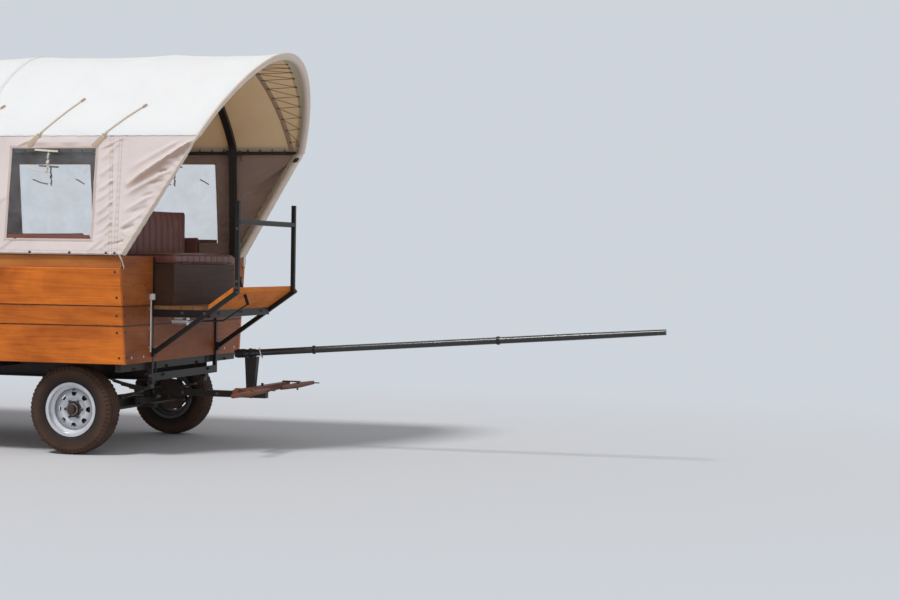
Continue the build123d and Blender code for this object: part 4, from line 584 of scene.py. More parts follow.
# Clear flexible sheet: mostly see-through by alpha, smeared and scratched
def vinylMaterial(name):
    material, n, shader, place = newMaterial(name)
    smear = n.noise(place, 5.0, 6.0, roughness=0.7)
    n.fill(shader, {
        "Base Color": (0.55, 0.62, 0.68), "Alpha": n.fit(smear, 0.35, 0.75, 0.03, 0.12),
        "Roughness": n.sloped(smear, 0.18, 0.04), "Specular IOR Level": 0.8,
    })
    n.bump(shader, n.noise(place, 3.0, 2.0), 0.01, 0.4)
    return material


finish = dict(
    plank=woodMaterial(
        "stainedPlanks", (0.79, 0.210, 0.023), (0.29, 0.055, 0.007), "X", (0.996, 1.146, 1.431), 0.6, dust=0.10,
    ),
    # painted shade: the top boards are a duller, darker copy of the plank stain, for the shade under the curtain's
    # overhang
    shadedTopPlank=woodMaterial("stainedTopBoardsInShade", (0.54, 0.19, 0.044), (0.26, 0.07, 0.015), "X", (), 0.6, dust=0.1),
    # painted shade: the front boards, the rear boards and the rear door are a darker copy of the side planks' stain
    shadedEndPlank=woodMaterial(
        "stainedEndPlanksInShade", (0.37, 0.105, 0.022), (0.15, 0.034, 0.008), "Y",
        (0.996, 1.146, 1.431), 0.5, dust=0.15,
    ),
    deck=woodMaterial("deckBoards", (0.40, 0.20, 0.085), (0.17, 0.07, 0.028), "Y", (), 0.4, 0.15, 0.0, 0.45, 0.094),
    floorBoard=woodMaterial(
        "floorBoards", (0.36, 0.18, 0.08), (0.15, 0.065, 0.028), "X", (), 0.4, 0.15, 0.0, 0.4, 0.14,
    ),
    footBoard=woodMaterial(
        "footBoards", (0.84, 0.26, 0.045), (0.42, 0.105, 0.018), "Y", (), 0.4, 0.05, 0.0, 0.06, shine=0.04,
    ),
    bench=woodMaterial("benchBoards", (0.42, 0.17, 0.05), (0.18, 0.06, 0.018), "X", (), 0.4, dust=0.15),
    darkWood=woodMaterial("darkBoards", (0.075, 0.036, 0.02), (0.025, 0.013, 0.009), "Y", (), 0.2, 0.1, 0.05, 0.1),
    tree=woodMaterial("redBrownBars", (0.20, 0.06, 0.03), (0.07, 0.022, 0.012), "Y", (), 0.1, 0.05, 0.15, 0.4),
    blackSteel=metalMaterial(
        "blackSteel", (0.014, 0.012, 0.011), 0.45, wear=0.35, rust=0.15, dust=0.22, dustTop=1.0, shine=0.28,
    ),
    springSteel=metalMaterial("springSteel", (0.028, 0.023, 0.021), 0.5, wear=0.4, rust=0.4, dust=0.4),
    bowSteel=metalMaterial("bowSteel", (0.022, 0.017, 0.015), 0.42, wear=0.4, rust=0.1, dust=0.08, dustTop=3.5),
    poleSteel=metalMaterial(
        "poleSteel", (0.014, 0.014, 0.016), 0.3, wear=0.4, rust=0.08, dust=0.2, coat=0.2, dustTop=1.2,
    ),
    wornSteel=metalMaterial("wornSteel", (0.085, 0.062, 0.05), 0.6, 0.4, rust=0.6, dust=0.4),
    # the wheels' inner halves are darkened with painted shade
    wheelPaint=metalMaterial(
        "wheelPaint", (0.62, 0.64, 0.68), 0.34, 0.35, worn=(0.3, 0.25, 0.2), wear=0.25,
        rust=0.05, dust=0.35, coat=0.2, dustTop=0.7, shadeWithin=0.95,
    ),
    hubRust=metalMaterial("hubRust", (0.030, 0.021, 0.018), 0.5, 0.3, wear=0.3, rust=0.3, dust=0.22),
    wornBolt=metalMaterial("wornBolts", (0.10, 0.085, 0.075), 0.5, 0.6, wear=0.5, rust=0.35, dust=0.25),
    alloy=metalMaterial("castAlloy", (0.74, 0.75, 0.76), 0.36, 0.85, wear=0.2, dust=0.12, dustTop=1.5, grain=0.0007),
    zinc=metalMaterial("zincFittings", (0.55, 0.55, 0.56), 0.36, 0.9, wear=0.1, dust=0.15, dustTop=1.6),
    brightSteel=metalMaterial("brightSteel", (0.72, 0.72, 0.73), 0.26, 1.0, wear=0.1, dust=0.1, dustTop=1.2),
    tyre=rubberMaterial("tyreRubber", (0.020, 0.015, 0.013), 0.58, axles=(-1.501, 1.604, 0.343, 0.225, 0.295)),
    darkRubber=rubberMaterial("darkRubber", (0.018, 0.016, 0.015), 0.25),
    seat=hideMaterial("seatCover", (0.15, 0.042, 0.028), (0.22, 0.09, 0.06)),
    piping=hideMaterial("seatPiping", (0.05, 0.018, 0.014), (0.08, 0.035, 0.025)),
    vinyl=vinylMaterial("clearSheet"),
    whitePaint=metalMaterial("whiteFittings", (0.74, 0.73, 0.70), 0.5, wear=0.2, dust=0.2, dustTop=1.6),
    roof=clothMaterial("roofCanvas", (0.90, 0.885, 0.865), (0.74, 0.70, 0.65), soil=0.18, glow=0.4),
    # painted light: the roof's inner face, the fold inside the front edge and the wrap round the hoop are tan copies of
    # the off-white canvas, standing for warm light that comes through the canvas and up from the ground
    roofInside=clothMaterial("roofCanvasInsideBounceLit", (0.95, 0.70, 0.47), (0.74, 0.50, 0.32), soil=0.3, glow=0.6),
    flap=clothMaterial("foldInsideBounceLit", (0.98, 0.69, 0.42), (0.78, 0.50, 0.28), soil=0.3, glow=0.8),
    hem=clothMaterial("canvasHemBounceLit", (0.88, 0.69, 0.57), (0.66, 0.47, 0.37), soil=0.3, glow=0.4),
    # painted shade: the upright curtains are a darker, pinker copy of the roof canvas, as the sides stand in shade;
    # folds that face down get painted warm brown shade
    curtain=clothMaterial(
        "curtainCanvas", (0.80, 0.70, 0.67), (0.58, 0.47, 0.43), soil=0.4, downFacingShade=(0.46, 0.31, 0.24),
    ),
    # painted shade: the curtains' inner face, the tapes on it and the strap tabs are a much darker copy of the curtain
    # canvas
    curtainInside=clothMaterial("curtainCanvasInsideShaded", (0.42, 0.30, 0.245), (0.28, 0.19, 0.15), soil=0.5),
    binding=clothMaterial("bindingTape", (0.66, 0.54, 0.49), (0.45, 0.33, 0.27), ownMetres=False, soil=0.4),
    tapeTan=clothMaterial("laceTape", (0.52, 0.34, 0.22), (0.34, 0.21, 0.13), 500, ownMetres=False),
    roofStrap=clothMaterial("roofStrap", (0.72, 0.60, 0.47), (0.5, 0.38, 0.27), 500, ownMetres=False),
    tanStrap=clothMaterial("tanStrap", (0.56, 0.42, 0.30), (0.36, 0.25, 0.17), 500, ownMetres=False),
    redStrip=clothMaterial("redBrownStrip", (0.20, 0.065, 0.045), (0.10, 0.04, 0.03), 500, ownMetres=False),
    lace=clothMaterial("laceCord", (0.12, 0.07, 0.045), (0.07, 0.04, 0.03), 900, ownMetres=False),
    rope=clothMaterial("paleRope", (0.74, 0.68, 0.58), (0.5, 0.42, 0.33), 600, ownMetres=False),
    thread=clothMaterial("paleThread", (0.60, 0.50, 0.44), (0.4, 0.32, 0.27), 600, ownMetres=False),
)
print("materials made:", len(finish))

# The finish of each of the record's nodes
finishNodes = dict(
    # the top boards, front boards, rear boards and rear door take the plank stain in painted shade
    plank="side_planks_left side_planks_right", shadedTopPlank="top_boards", shadedEndPlank="front_boards rear_boards rear_door",
    floorBoard="floor", deck="platform_deck", footBoard="footboard", bench="bench_frames", darkWood="driver_locker",
    tree="evener singletree_left singletree_right",
    blackSteel="chassis platform_frame dash_rail brake_pedal stakes door_pins rear_steps steering_head drawbar"
    " tie_rod front_axle rear_axle",
    springSteel="front_springs rear_springs", bowSteel="bows front_hoop eave_rails", poleSteel="pole",
    alloy="brake_cylinder", wornSteel="knuckle_left knuckle_right", vinyl="window_panes", roof="roof_canvas",
    curtain="curtain_left curtain_right rear_curtain", seat="bench_cushions driver_cushions",
    wheelPaint="wheel_front_left wheel_front_right wheel_rear_left wheel_rear_right",
    tyre="tyre_front_left tyre_front_right tyre_rear_left tyre_rear_right",
)
for label, names in finishNodes.items():
    for name in names.split():
        slots = nodes[name].material_slots
        for place in slots:
            place.material = finish[label]
        if not slots:
            nodes[name].data.materials.append(finish[label])


# ---- floor, backdrop and lights

stageValues = dict(
    floorColour=(0.66, 0.67, 0.69), backdrop=(0.62, 0.66, 0.71), fadeFrom=3.5, fadeTo=8.4,
    sky=(0.93, 0.96, 1.0), skyStrength=0.40,
    # name, where it shines from, strength, and width in degrees
    lights=(("keyLight", (-0.30, -0.62, 1.0), 1.9, 12), ("fillLight", (0.9, -1.0, 0.55), 0.4, 60)),
)


# Mixes in the flat backdrop for what the camera sees, straight, mirrored or through glass
def withBackdrop(n, shader, kind, output, far=None):
    rays = n.add("LightPath").outputs
    seen = n.math("MAXIMUM", rays["Is Glossy Ray"], rays["Is Transmission Ray"])
    seen = n.math("MAXIMUM", rays["Is Camera Ray"], seen)
    pale = n.add(kind, {"Color": stageValues["backdrop"], "Strength": 1.0}).outputs[0]
    share = seen if far is None else n.times(far, seen)
    mix = n.add("MixShader", {0: share, 1: shader.outputs[0], 2: pale})
    n.feed(n.tree.nodes[output].inputs["Surface"], mix.outputs[0])


# Pale floor that keeps the shadow near the wagon and fades into the backdrop further out
def makeStage():
    v = stageValues
    bpy.ops.mesh.primitive_plane_add(size=160)
    floorPlane = bpy.context.object
    floorPlane.name = "paleFloor"
    floorPlane.location = (0, 0, -0.001)
    material, n, shader, place = newMaterial("paleFloor")
    n.fill(shader, {"Base Color": v["floorColour"], "Roughness": 0.9, "Specular IOR Level": 0.1})
    reach = n.vector("LENGTH", n.vector("MULTIPLY", place, (0.75, 1.0, 1.0)))
    far = n.fit(reach, v["fadeFrom"], v["fadeTo"], 0.0, 1.0, "SMOOTHSTEP")
    withBackdrop(n, shader, "Emission", "Material Output", far)
    floorPlane.data.materials.append(material)
    world = bpy.data.worlds.new("softRoom")
    bpy.context.scene.world = world
    world.use_nodes = True
    n = nodeMaker(world.node_tree)
    room = n.fill(n.tree.nodes["Background"], {"Color": v["sky"], "Strength": v["skyStrength"]})
    withBackdrop(n, room, "Background", "World Output")
    for label, aim, strength, angle in v["lights"]:
        data = bpy.data.lights.new(label, "SUN")
        data.energy, data.angle = strength, math.radians(angle)
        lamp = bpy.data.objects.new(label, data)
        lamp.rotation_euler = Vector(aim).to_track_quat("Z", "Y").to_euler()
        bpy.context.scene.collection.objects.link(lamp)
    bpy.context.scene.view_settings.view_transform = "Standard"


makeStage()
print("stage and lights made")


# ---- canopy

canopy = dict(
    top=3.14, crownRadius=1.1, crownAngle=math.radians(25), haunchRadius=1.5881, eaveAngle=math.radians(57.97),
    eaveZ=2.44, hemZ=1.528, eaveAhead=0.580, ridgeAhead=0.883, ridgeZ=3.146, hemAhead=0.004,
    firstBow=0.0623, bowPitch=1.16885, bowCount=5, sag=0.017, hemDrop=0.020, hemOut=0.007, scallop=0.11,
    thickness=0.004, sagReach=0.20, waves=0.0025, columns=97, backRows=156, frontRows=46,
)


# The roof's section, lifted outwards from the canvas's inner face: a crown arc and a haunch arc
def roofSection(angle, lift):
    c = canopy
    a = np.abs(angle)
    cy = (c["crownRadius"] - c["haunchRadius"]) * np.sin(c["crownAngle"])
    cz = c["top"] - c["crownRadius"] + (c["crownRadius"] - c["haunchRadius"]) * np.cos(c["crownAngle"])
    crown = a <= c["crownAngle"]
    inner, outer = c["crownRadius"] + lift, c["haunchRadius"] + lift
    y = np.where(crown, inner * np.sin(a), cy + outer * np.sin(a))
    z = np.where(crown, c["top"] - c["crownRadius"] + inner * np.cos(a), cz + outer * np.cos(a))
    return np.sign(angle) * y, z


# The way out of the roof at an angle from the ridge
def roofNormal(angle):
    return np.stack([0 * angle, np.sin(angle), np.cos(angle)], -1)


# A value that a table gives at degrees from the ridge
def atDegrees(table, angle):
    return np.interp(np.degrees(np.abs(angle)), *np.array(table).T)


def bowPlaces():
    return [front - canopy["firstBow"] - canopy["bowPitch"] * n for n in range(canopy["bowCount"])]


# Length along the section from the ridge
def sectionLength(angle):
    c = canopy
    a = np.abs(angle)
    past = c["crownRadius"] * c["crownAngle"] + c["haunchRadius"] * (a - c["crownAngle"])
    return np.sign(angle) * np.where(a <= c["crownAngle"], c["crownRadius"] * a, past)


# X of the canopy's front edge at height z: one slope below the eave and a steeper one above
def frontEdge(z):
    c = canopy
    low = c["hemAhead"] + (z - c["hemZ"]) * (c["eaveAhead"] - c["hemAhead"]) / (c["eaveZ"] - c["hemZ"])
    high = c["eaveAhead"] + (z - c["eaveZ"]) * (c["ridgeAhead"] - c["eaveAhead"]) / (c["ridgeZ"] - c["eaveZ"])
    return front + np.where(z > c["eaveZ"], high, low)


# How far the canvas sinks between the bows: nothing on a bow, levelling out between two
def roofSag(x, edge):
    gap = np.abs(x[..., None] - np.array(bowPlaces())).min(-1)
    gap = np.minimum(gap, np.abs(edge - x) * 1.3)
    return 1 - np.exp(-(gap / canopy["sagReach"]) ** 1.5)


# How far the roof's outer face stands above its section: it sinks between bows, less towards the eaves
def roofLift(x, angle, edge):
    c = canopy
    slack = 1 - (np.abs(angle) / c["eaveAngle"]) ** 5
    waves = c["waves"] * unevenness(x, sectionLength(angle), 0.5, 3)
    return c["thickness"] - c["sag"] * roofSag(x, edge) * slack + waves * slack


# A place on the roof's outer face, lifted by a little more
def onRoof(x, angle, more=0.0):
    x, angle = np.broadcast_arrays(np.asarray(x, float), np.asarray(angle, float))
    edge = frontEdge(roofSection(angle, 0.0)[1])
    y, z = roofSection(angle, roofLift(x, angle, edge) + more)
    return np.stack([x, y, z], -1)


# Grid of the roof from its rear edge to its leaning front edge, with a scalloped hem past each eave
def makeRoof():
    c = canopy
    angles = np.linspace(-c["eaveAngle"], c["eaveAngle"], c["columns"])
    edge = frontEdge(roofSection(angles, 0.0)[1])
    back = np.linspace(rear, front - c["firstBow"], c["backRows"])
    share = np.linspace(0, 1, c["frontRows"])[1:, None]
    x = np.concatenate([np.repeat(back[:, None], len(angles), 1), back[-1] + share * (edge - back[-1])[None]])
    along = np.broadcast_to(angles, x.shape)
    y, z = roofSection(along, roofLift(x, along, edge))
    points = np.stack([x, y, z], -1)
    uv = np.stack([x, sectionLength(along)], -1)
    share = np.array([1, 2, 3]) / 3  # a hem that hangs past the eave, scalloped between its ties
    hems, hemUvs = [], []
    for side, column in ((-1, 0), (1, -1)):
        last = points[:, column]
        scallops = 0.93 + 0.07 * np.cos(last[:, 0] / c["scallop"] * 2 * np.pi)
        down = np.stack([0 * scallops, side * c["hemOut"] + 0 * scallops, -c["hemDrop"] * scallops], -1)
        hems.append(last[:, None] + down[:, None] * share[None, :, None])
        drop = np.stack([0 * share, side * c["hemDrop"] * share], -1)
        hemUvs.append(uv[:, column][:, None] + drop[None])
    points = np.concatenate([hems[0][:, ::-1], points, hems[1]], 1)
    return points, np.concatenate([hemUvs[0][:, ::-1], uv, hemUvs[1]], 1)


points, uv = makeRoof()
# the roof's inner face is painted with warm light
sheetLabels = ("roof", "roofInside", "binding")
roofPiece = makeSheet(
    "roofSheet", gridShape(points), sheetLabels, canopy["thickness"], uv, offset=-1.0, inside=1, rim=2,
)
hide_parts("roof_canvas")
print("roof made")


# ---- curtains

curtains = dict(
    seams=((-0.078, -0.050), (-0.037, -0.012)),  # place at the hem behind the front, and slant
    foot=1.244, lean=math.radians(6.57), height=0.9115, middle=0.0032, windowWidth=0.70, windowHeight=0.69,
    sill=1.645, firstWindow=0.245, windowPitch=1.19, windows=4, slant=0.13, thickness=0.003,
    column=0.0142, rows=(8, 60, 16), slantColumns=62, hemUp=0.034, hemThicker=0.0016,
    waves=(0.0040, 0.0020), edgeRipple=0.0022, dimple=0.0120, pucker=0.0018, hemRipple=0.0022, aboveWindow=0.009,
    # creases near the front corner: start and end from the front and up from the hem, width and height
    creases=(
        ((0.57, 0.885), (0.02, 0.53), 0.034, 0.044), ((0.45, 0.88), (0.03, 0.65), 0.028, 0.010),
        ((0.40, 0.66), (0.00, 0.45), 0.020, 0.010), ((0.26, 0.47), (0.00, 0.33), 0.018, 0.008),
        ((0.17, 0.32), (-0.02, 0.21), 0.015, 0.007), ((0.09, 0.13), (-0.02, 0.19), 0.012, 0.006),
        ((0.05, 0.05), (-0.03, 0.12), 0.010, 0.005), ((-0.05, 0.86), (-0.20, 0.72), 0.020, 0.008),
        ((-0.08, 0.70), (-0.21, 0.60), 0.018, 0.008), ((-0.07, 0.58), (-0.21, 0.49), 0.014, 0.009),
        ((-0.08, 0.50), (-0.22, 0.41), 0.014, 0.008), ((-0.07, 0.42), (-0.21, 0.31), 0.013, 0.009),
        ((-0.08, 0.33), (-0.22, 0.24), 0.012, 0.008), ((-0.07, 0.26), (-0.20, 0.16), 0.012, 0.008),
        ((-0.08, 0.19), (-0.22, 0.11), 0.011, 0.007), ((-0.07, 0.12), (-0.18, 0.04), 0.011, 0.007),
    ),
)
sides = (("Right", -1, 11), ("Left", 1, 23))  # name, side and seed of the folds


# Place on a curtain: along X, up its slope from the hem, and out from its middle
def onCurtain(side, x, up, out):
    c = curtains
    reach = c["middle"] + out
    y = c["foot"] - up * math.sin(c["lean"]) + reach * math.cos(c["lean"])
    z = canopy["hemZ"] + up * math.cos(c["lean"]) + reach * math.sin(c["lean"])
    return np.stack(np.broadcast_arrays(x, side * y, z), -1)


def windowEdges():
    c = curtains
    ends = [front - c["firstWindow"] - c["windowPitch"] * n for n in range(c["windows"])]
    low = (c["sill"] - canopy["hemZ"]) / math.cos(c["lean"])
    return [(end - c["windowWidth"], end) for end in ends[::-1]], low, low + c["windowHeight"]


# A bump across a line from one point to another: a bell across it that fades towards its ends
def crease(x, up, start, end, width, height):
    (x0, up0), (x1, up1) = start, end
    runX, runUp = x1 - x0, up1 - up0
    length = np.hypot(runX, runUp)
    t = ((x - x0) * runX + (up - up0) * runUp) / length ** 2
    d = ((x - x0) * runUp - (up - up0) * runX) / length
    steep = np.where(d > 0, 0.55, 1.25)  # one flank is steeper than the other
    bell = np.exp(-np.abs(d / (width * (0.45 + 0.75 * np.clip(t, 0, 1)) * steep)) ** 1.5)
    return height * bell * np.clip(1.15 - np.abs(2 * t - 1) ** 3, 0, 1) * (np.abs(t - 0.5) < 0.62)


# Folds of a curtain: slow waves, long slanting creases near its front corner, and puckers at seams and hems
def curtainFolds(x, up, seed, edge):
    turn = 2 * np.pi
    fromFront = x - front
    nearFront = fromFront > -0.3
    c = curtains
    wide, fine = c["waves"]
    folds = wide * unevenness(x, up, 0.55, seed) + fine * unevenness(x, up * 0.5, 0.16, seed + 1)
    for values in c["creases"]:
        folds = folds + crease(fromFront, up, *values)
    toEdge = np.maximum(edge - x, 0)
    ripples = np.sin((up + 0.6 * x) * turn / 0.085 + 2.2 * np.sin(up * 9))
    folds = folds + c["edgeRipple"] * ripples * np.exp(-(toEdge / 0.07) ** 1.3) * nearFront
    # dimples where the hem is drawn in
    dimple = np.clip(np.sin((up - 0.22 * fromFront) * turn / 0.092 + 1.3 * np.sin(up * 11)), 0, 1) ** 3
    nearHem = np.exp(-((toEdge - 0.085) / 0.036) ** 2) * (up > 0.06) * (up < 0.8) * nearFront
    folds = folds - c["dimple"] * dimple * nearHem
    for seam, slant in c["seams"]:  # the cloth draws in at the upright seams
        pucker = c["pucker"] * np.sin(up * turn / 0.048 + 2 * np.sin(up * 7)) - 0.0016
        folds = folds + pucker * np.exp(-np.abs(x - (front + seam + slant * up)) / 0.016)
    folds = folds + c["hemRipple"] * np.sin(x * turn / 0.11 + seed) * np.exp(-up / 0.06)
    for n, (low, high) in enumerate(windowEdges()[0]):  # short creases from a window's upper corners to the eave
        middle, half = (low + high) / 2, (high - low) / 2
        above = np.exp(-((up - 0.87) / 0.045) ** 2) * np.exp(-((x - middle) / (half * 0.95)) ** 6)
        folds = folds + c["aboveWindow"] * above * (1 + 0.5 * np.sin((x - middle) * 26 + seed))
        for k, way in enumerate((-1, 1)):
            at = middle + way * (half + 0.02)
            folds = folds + crease(x, up, (at + 0.02, 0.80), (at + 0.17 + 0.02 * n, 0.90), 0.016, 0.007)
            folds = folds + crease(x, up, (at - 0.20, 0.30 + 0.1 * k), (at + 0.02, 0.46 + 0.1 * k), 0.030, 0.006)
            folds = folds + crease(x, up, (at - 0.05, 0.02), (at + 0.10, 0.14), 0.022, 0.006)
    return folds


# A place on the middle of a curtain's cloth, folds and all, moved out by a little more
def onCurtainCloth(side, seed, x, up, more=0.0):
    c = curtains
    x, up = np.broadcast_arrays(np.asarray(x, float), np.asarray(up, float))
    edge = frontEdge(canopy["hemZ"] + up * math.cos(c["lean"]))
    out = curtainFolds(x, up, seed, edge) * np.clip(up / 0.03, 0, 1)
    near = np.clip((c["height"] - up) / 0.06, 0, 1)  # the top is held by the eave
    deepest = -0.003 - 0.009 * np.clip(1 - up / 0.5, 0, 1)
    hem = c["hemThicker"] * (up < c["hemUp"])
    return onCurtain(side, x, up, np.maximum(out, deepest) * near + 0.0005 + hem + more)


def makeCurtain(side, seed):
    c = curtains
    ends, low, high = windowEdges()
    last = front - c["slant"]  # from here the columns lean towards the edge
    breaks = [rear] + [v for pair in ends for v in pair] + [last]
    x = np.concatenate([
        np.linspace(a, b, max(3, round((b - a) / c["column"])), endpoint=False) for a, b in zip(breaks, breaks[1:])
    ])
    below, beside, above = c["rows"]
    hem = [0, 0.016, c["hemUp"] - 0.0005, c["hemUp"] + 0.0005]
    up = np.concatenate([
        hem, np.linspace(c["hemUp"] + 0.010, low, below, endpoint=False),
        np.linspace(low, high, beside, endpoint=False), np.linspace(high, c["height"], above),
    ])
    edge = frontEdge(canopy["hemZ"] + up * math.cos(c["lean"]))
    slanted = last + np.linspace(0, 1, c["slantColumns"])[:, None] * (edge - front + c["slant"])[None]
    xs = np.concatenate([np.repeat(x[:, None], len(up), 1), slanted])
    ups = np.broadcast_to(up, xs.shape)
    faces = gridFaces(*xs.shape)
    faceX, faceUp = xs.reshape(-1)[faces].mean(1), ups.reshape(-1)[faces].mean(1)
    hole = np.zeros(len(faces), bool)
    for a, b in ends:
        hole |= (faceX > a) & (faceX < min(b, last)) & (faceUp > low) & (faceUp < high)
    points = onCurtainCloth(side, seed, xs, ups).reshape(-1, 3)
    length = front - rear + (canopy["eaveAhead"] + canopy["hemAhead"]) / 2
    area = c["height"] * length - c["windows"] * c["windowWidth"] * c["windowHeight"]
    return (points, [faces[~hole][:, ::-side]]), np.stack([xs, ups], -1), area


# the curtains' inner face takes the painted shade
sheetLabels = ("curtain", "curtainInside", "binding")
for label, side, seed in sides:
    shape, uv, area = makeCurtain(side, seed)
    piece = makeSheet("curtainSheet" + label, shape, sheetLabels, curtains["thickness"], uv, inside=1)
    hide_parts("curtain_" + label.lower())
print("curtains made")


rearCurtain = dict(
    flat=(2.48, 1.61), area=2.9, doorHalf=0.40, doorTop=2.40, thickness=0.003, columns=81, rows=64,
    waves=0.004, pleats=0.003, pleatPitch=0.19,
)


# Rear curtain: the arch's section filled down to the hem, with the doorway left open
def makeRearCurtain():
    r = rearCurtain
    angles = np.linspace(-canopy["eaveAngle"], canopy["eaveAngle"], r["columns"])
    y, top = roofSection(angles, -0.008)
    share = np.linspace(0, 1, r["rows"])[:, None]
    lowY = y / np.abs(y).max() * (curtains["foot"] - 0.004)
    ys = lowY[None] + (y - lowY)[None] * share
    zs = canopy["hemZ"] + 0.002 + (top - canopy["hemZ"])[None] * share
    pleats = r["pleats"] * np.sin(ys * 2 * np.pi / r["pleatPitch"])
    folds = r["waves"] * unevenness(ys, zs * 0.6, 0.4, 41) + pleats * (1 - share)
    xs = rear + 0.004 + np.clip(folds, -0.003, 0.004)
    points = np.stack([xs, ys, zs], -1).reshape(-1, 3)
    faces = gridFaces(*ys.shape)
    centre = points[faces].mean(1)
    hole = (np.abs(centre[:, 1]) < r["doorHalf"]) & (centre[:, 2] < r["doorTop"])
    return (points, [faces[~hole]]), np.stack([ys, zs], -1)


shape, uv = makeRearCurtain()
rearPiece = makeSheet("rearCurtainSheet", shape, sheetLabels, rearCurtain["thickness"], uv, inside=1, rim=2)
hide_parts("rear_curtain")


# ---- the canopy's edges: folded round the hoop and laced back

frontFold = dict(
    # behind the edge and inward from the canvas's inner face, round the hoop's tube
    wrap=((0.012, -0.0052), (0.006, -0.0056), (0.000, -0.0054), (-0.003, -0.001), (-0.003, 0.012), (0.001, 0.029),
          (0.009, 0.0425), (0.024, 0.0480), (0.041, 0.0445), (0.056, 0.0350)),
    widths=((0, 0.135), (20, 0.135), (30, 0.126), (39, 0.098), (45, 0.085), (58, 0.085)),
    bandX=((0, 0.40), (23, 0.421), (37, 0.443), (46, 0.460), (56, 0.470)),
    legWidth=0.11, eaveWidth=0.085, thickness=0.0022, legDeepens=1.25, wrapWidth=0.13,
    laceFrom=13.0, lacePitch=4.55, laceTo=54.5, lace=0.0042, hemFlat=(0.125, 5.1), flapFlat=(0.06, 5.0),
    waves=0.003, waveLength=0.088, eyelet=(0.008, 0.0022), hole=(0.006, 0.0018), tape=0.044,
    knot=0.016, knotCord=0.0026, tailCord=0.0024,
)


def clothNormal(side):
    return np.array([0, side * math.cos(curtains["lean"]), math.sin(curtains["lean"])])


# Stations round the front edge, from one hem over the ridge to the other: place, inward direction and fold width
def edgeStations():
    c, f = curtains, frontFold
    legs = []
    for _, side, seed in sides:
        up = np.linspace(0.004, c["height"] - 0.015, 90)
        place = onCurtainCloth(side, seed, frontEdge(canopy["hemZ"] + up * math.cos(c["lean"])), up, -0.0035)
        widths = np.interp(up, (0, c["height"]), (f["legWidth"], f["eaveWidth"]))
        deepens = 1 + f["legDeepens"] * (1 - up / c["height"])
        legs.append([place, np.broadcast_to(-clothNormal(side), place.shape), widths, deepens])
    angles = np.linspace(-canopy["eaveAngle"], canopy["eaveAngle"], 181)
    place = onRoof(frontEdge(roofSection(angles, 0.0)[1]), angles, -0.004)
    arch = place, -roofNormal(angles), atDegrees(f["widths"], angles), 1 + 0 * angles
    return [np.concatenate([a, b, c[::-1]]) for a, b, c in zip(legs[0], arch, legs[1])]


stationPlace, stationInward, stationWidth, stationDepth = edgeStations()


# Offsets behind the edge and inward carried along the stations
def alongEdge(offsets):
    offsets = np.asarray(offsets, float)
    if offsets.ndim == 2:
        offsets = np.broadcast_to(offsets[None], (len(stationPlace), *offsets.shape))
    back = np.array([-1.0, 0, 0])
    deep = offsets[..., 1:] * np.where(offsets[..., 1:] > 0.015, stationDepth[:, None, None], 1)
    return stationPlace[:, None] + offsets[..., :1] * back + deep * stationInward[:, None]


def makeFrontFold():
    f = frontFold
    wrap = smoothThrough(f["wrap"], 3)
    length = reachAlong(stationPlace)

    def fold(name, offsets, down, label):
        points = alongEdge(offsets)[:, ::-1]
        uv = np.stack(np.broadcast_arrays(length[:, None], down), -1)[:, ::-1]
        return makeSheet(name, gridShape(points), (label,), f["thickness"], uv)

    # the wrap round the hoop is painted with warm light bounced from the ground
    hem = fold("frontHem", wrap, np.linspace(0, f["wrapWidth"], len(wrap))[None], "hem")
    share = np.linspace(0, 1, 8)
    last = np.array(f["wrap"][-1])
    behind = last[0] + (stationWidth - last[0])[:, None] * share[None]
    inward = last[1] + (0.013 - last[1]) * (1 - (1 - share) ** 1.7)
    wave = f["waves"] * np.sin(length * 2 * np.pi / f["waveLength"])[:, None] * share[None] ** 2
    offsets = np.stack(np.broadcast_arrays(behind, inward[None] + wave), -1)
    # the fold's inside is painted with warm light bounced from the ground
    return hem, fold("frontFlap", offsets, f["wrapWidth"] + behind, "flap")


frontHem, frontFlap = makeFrontFold()


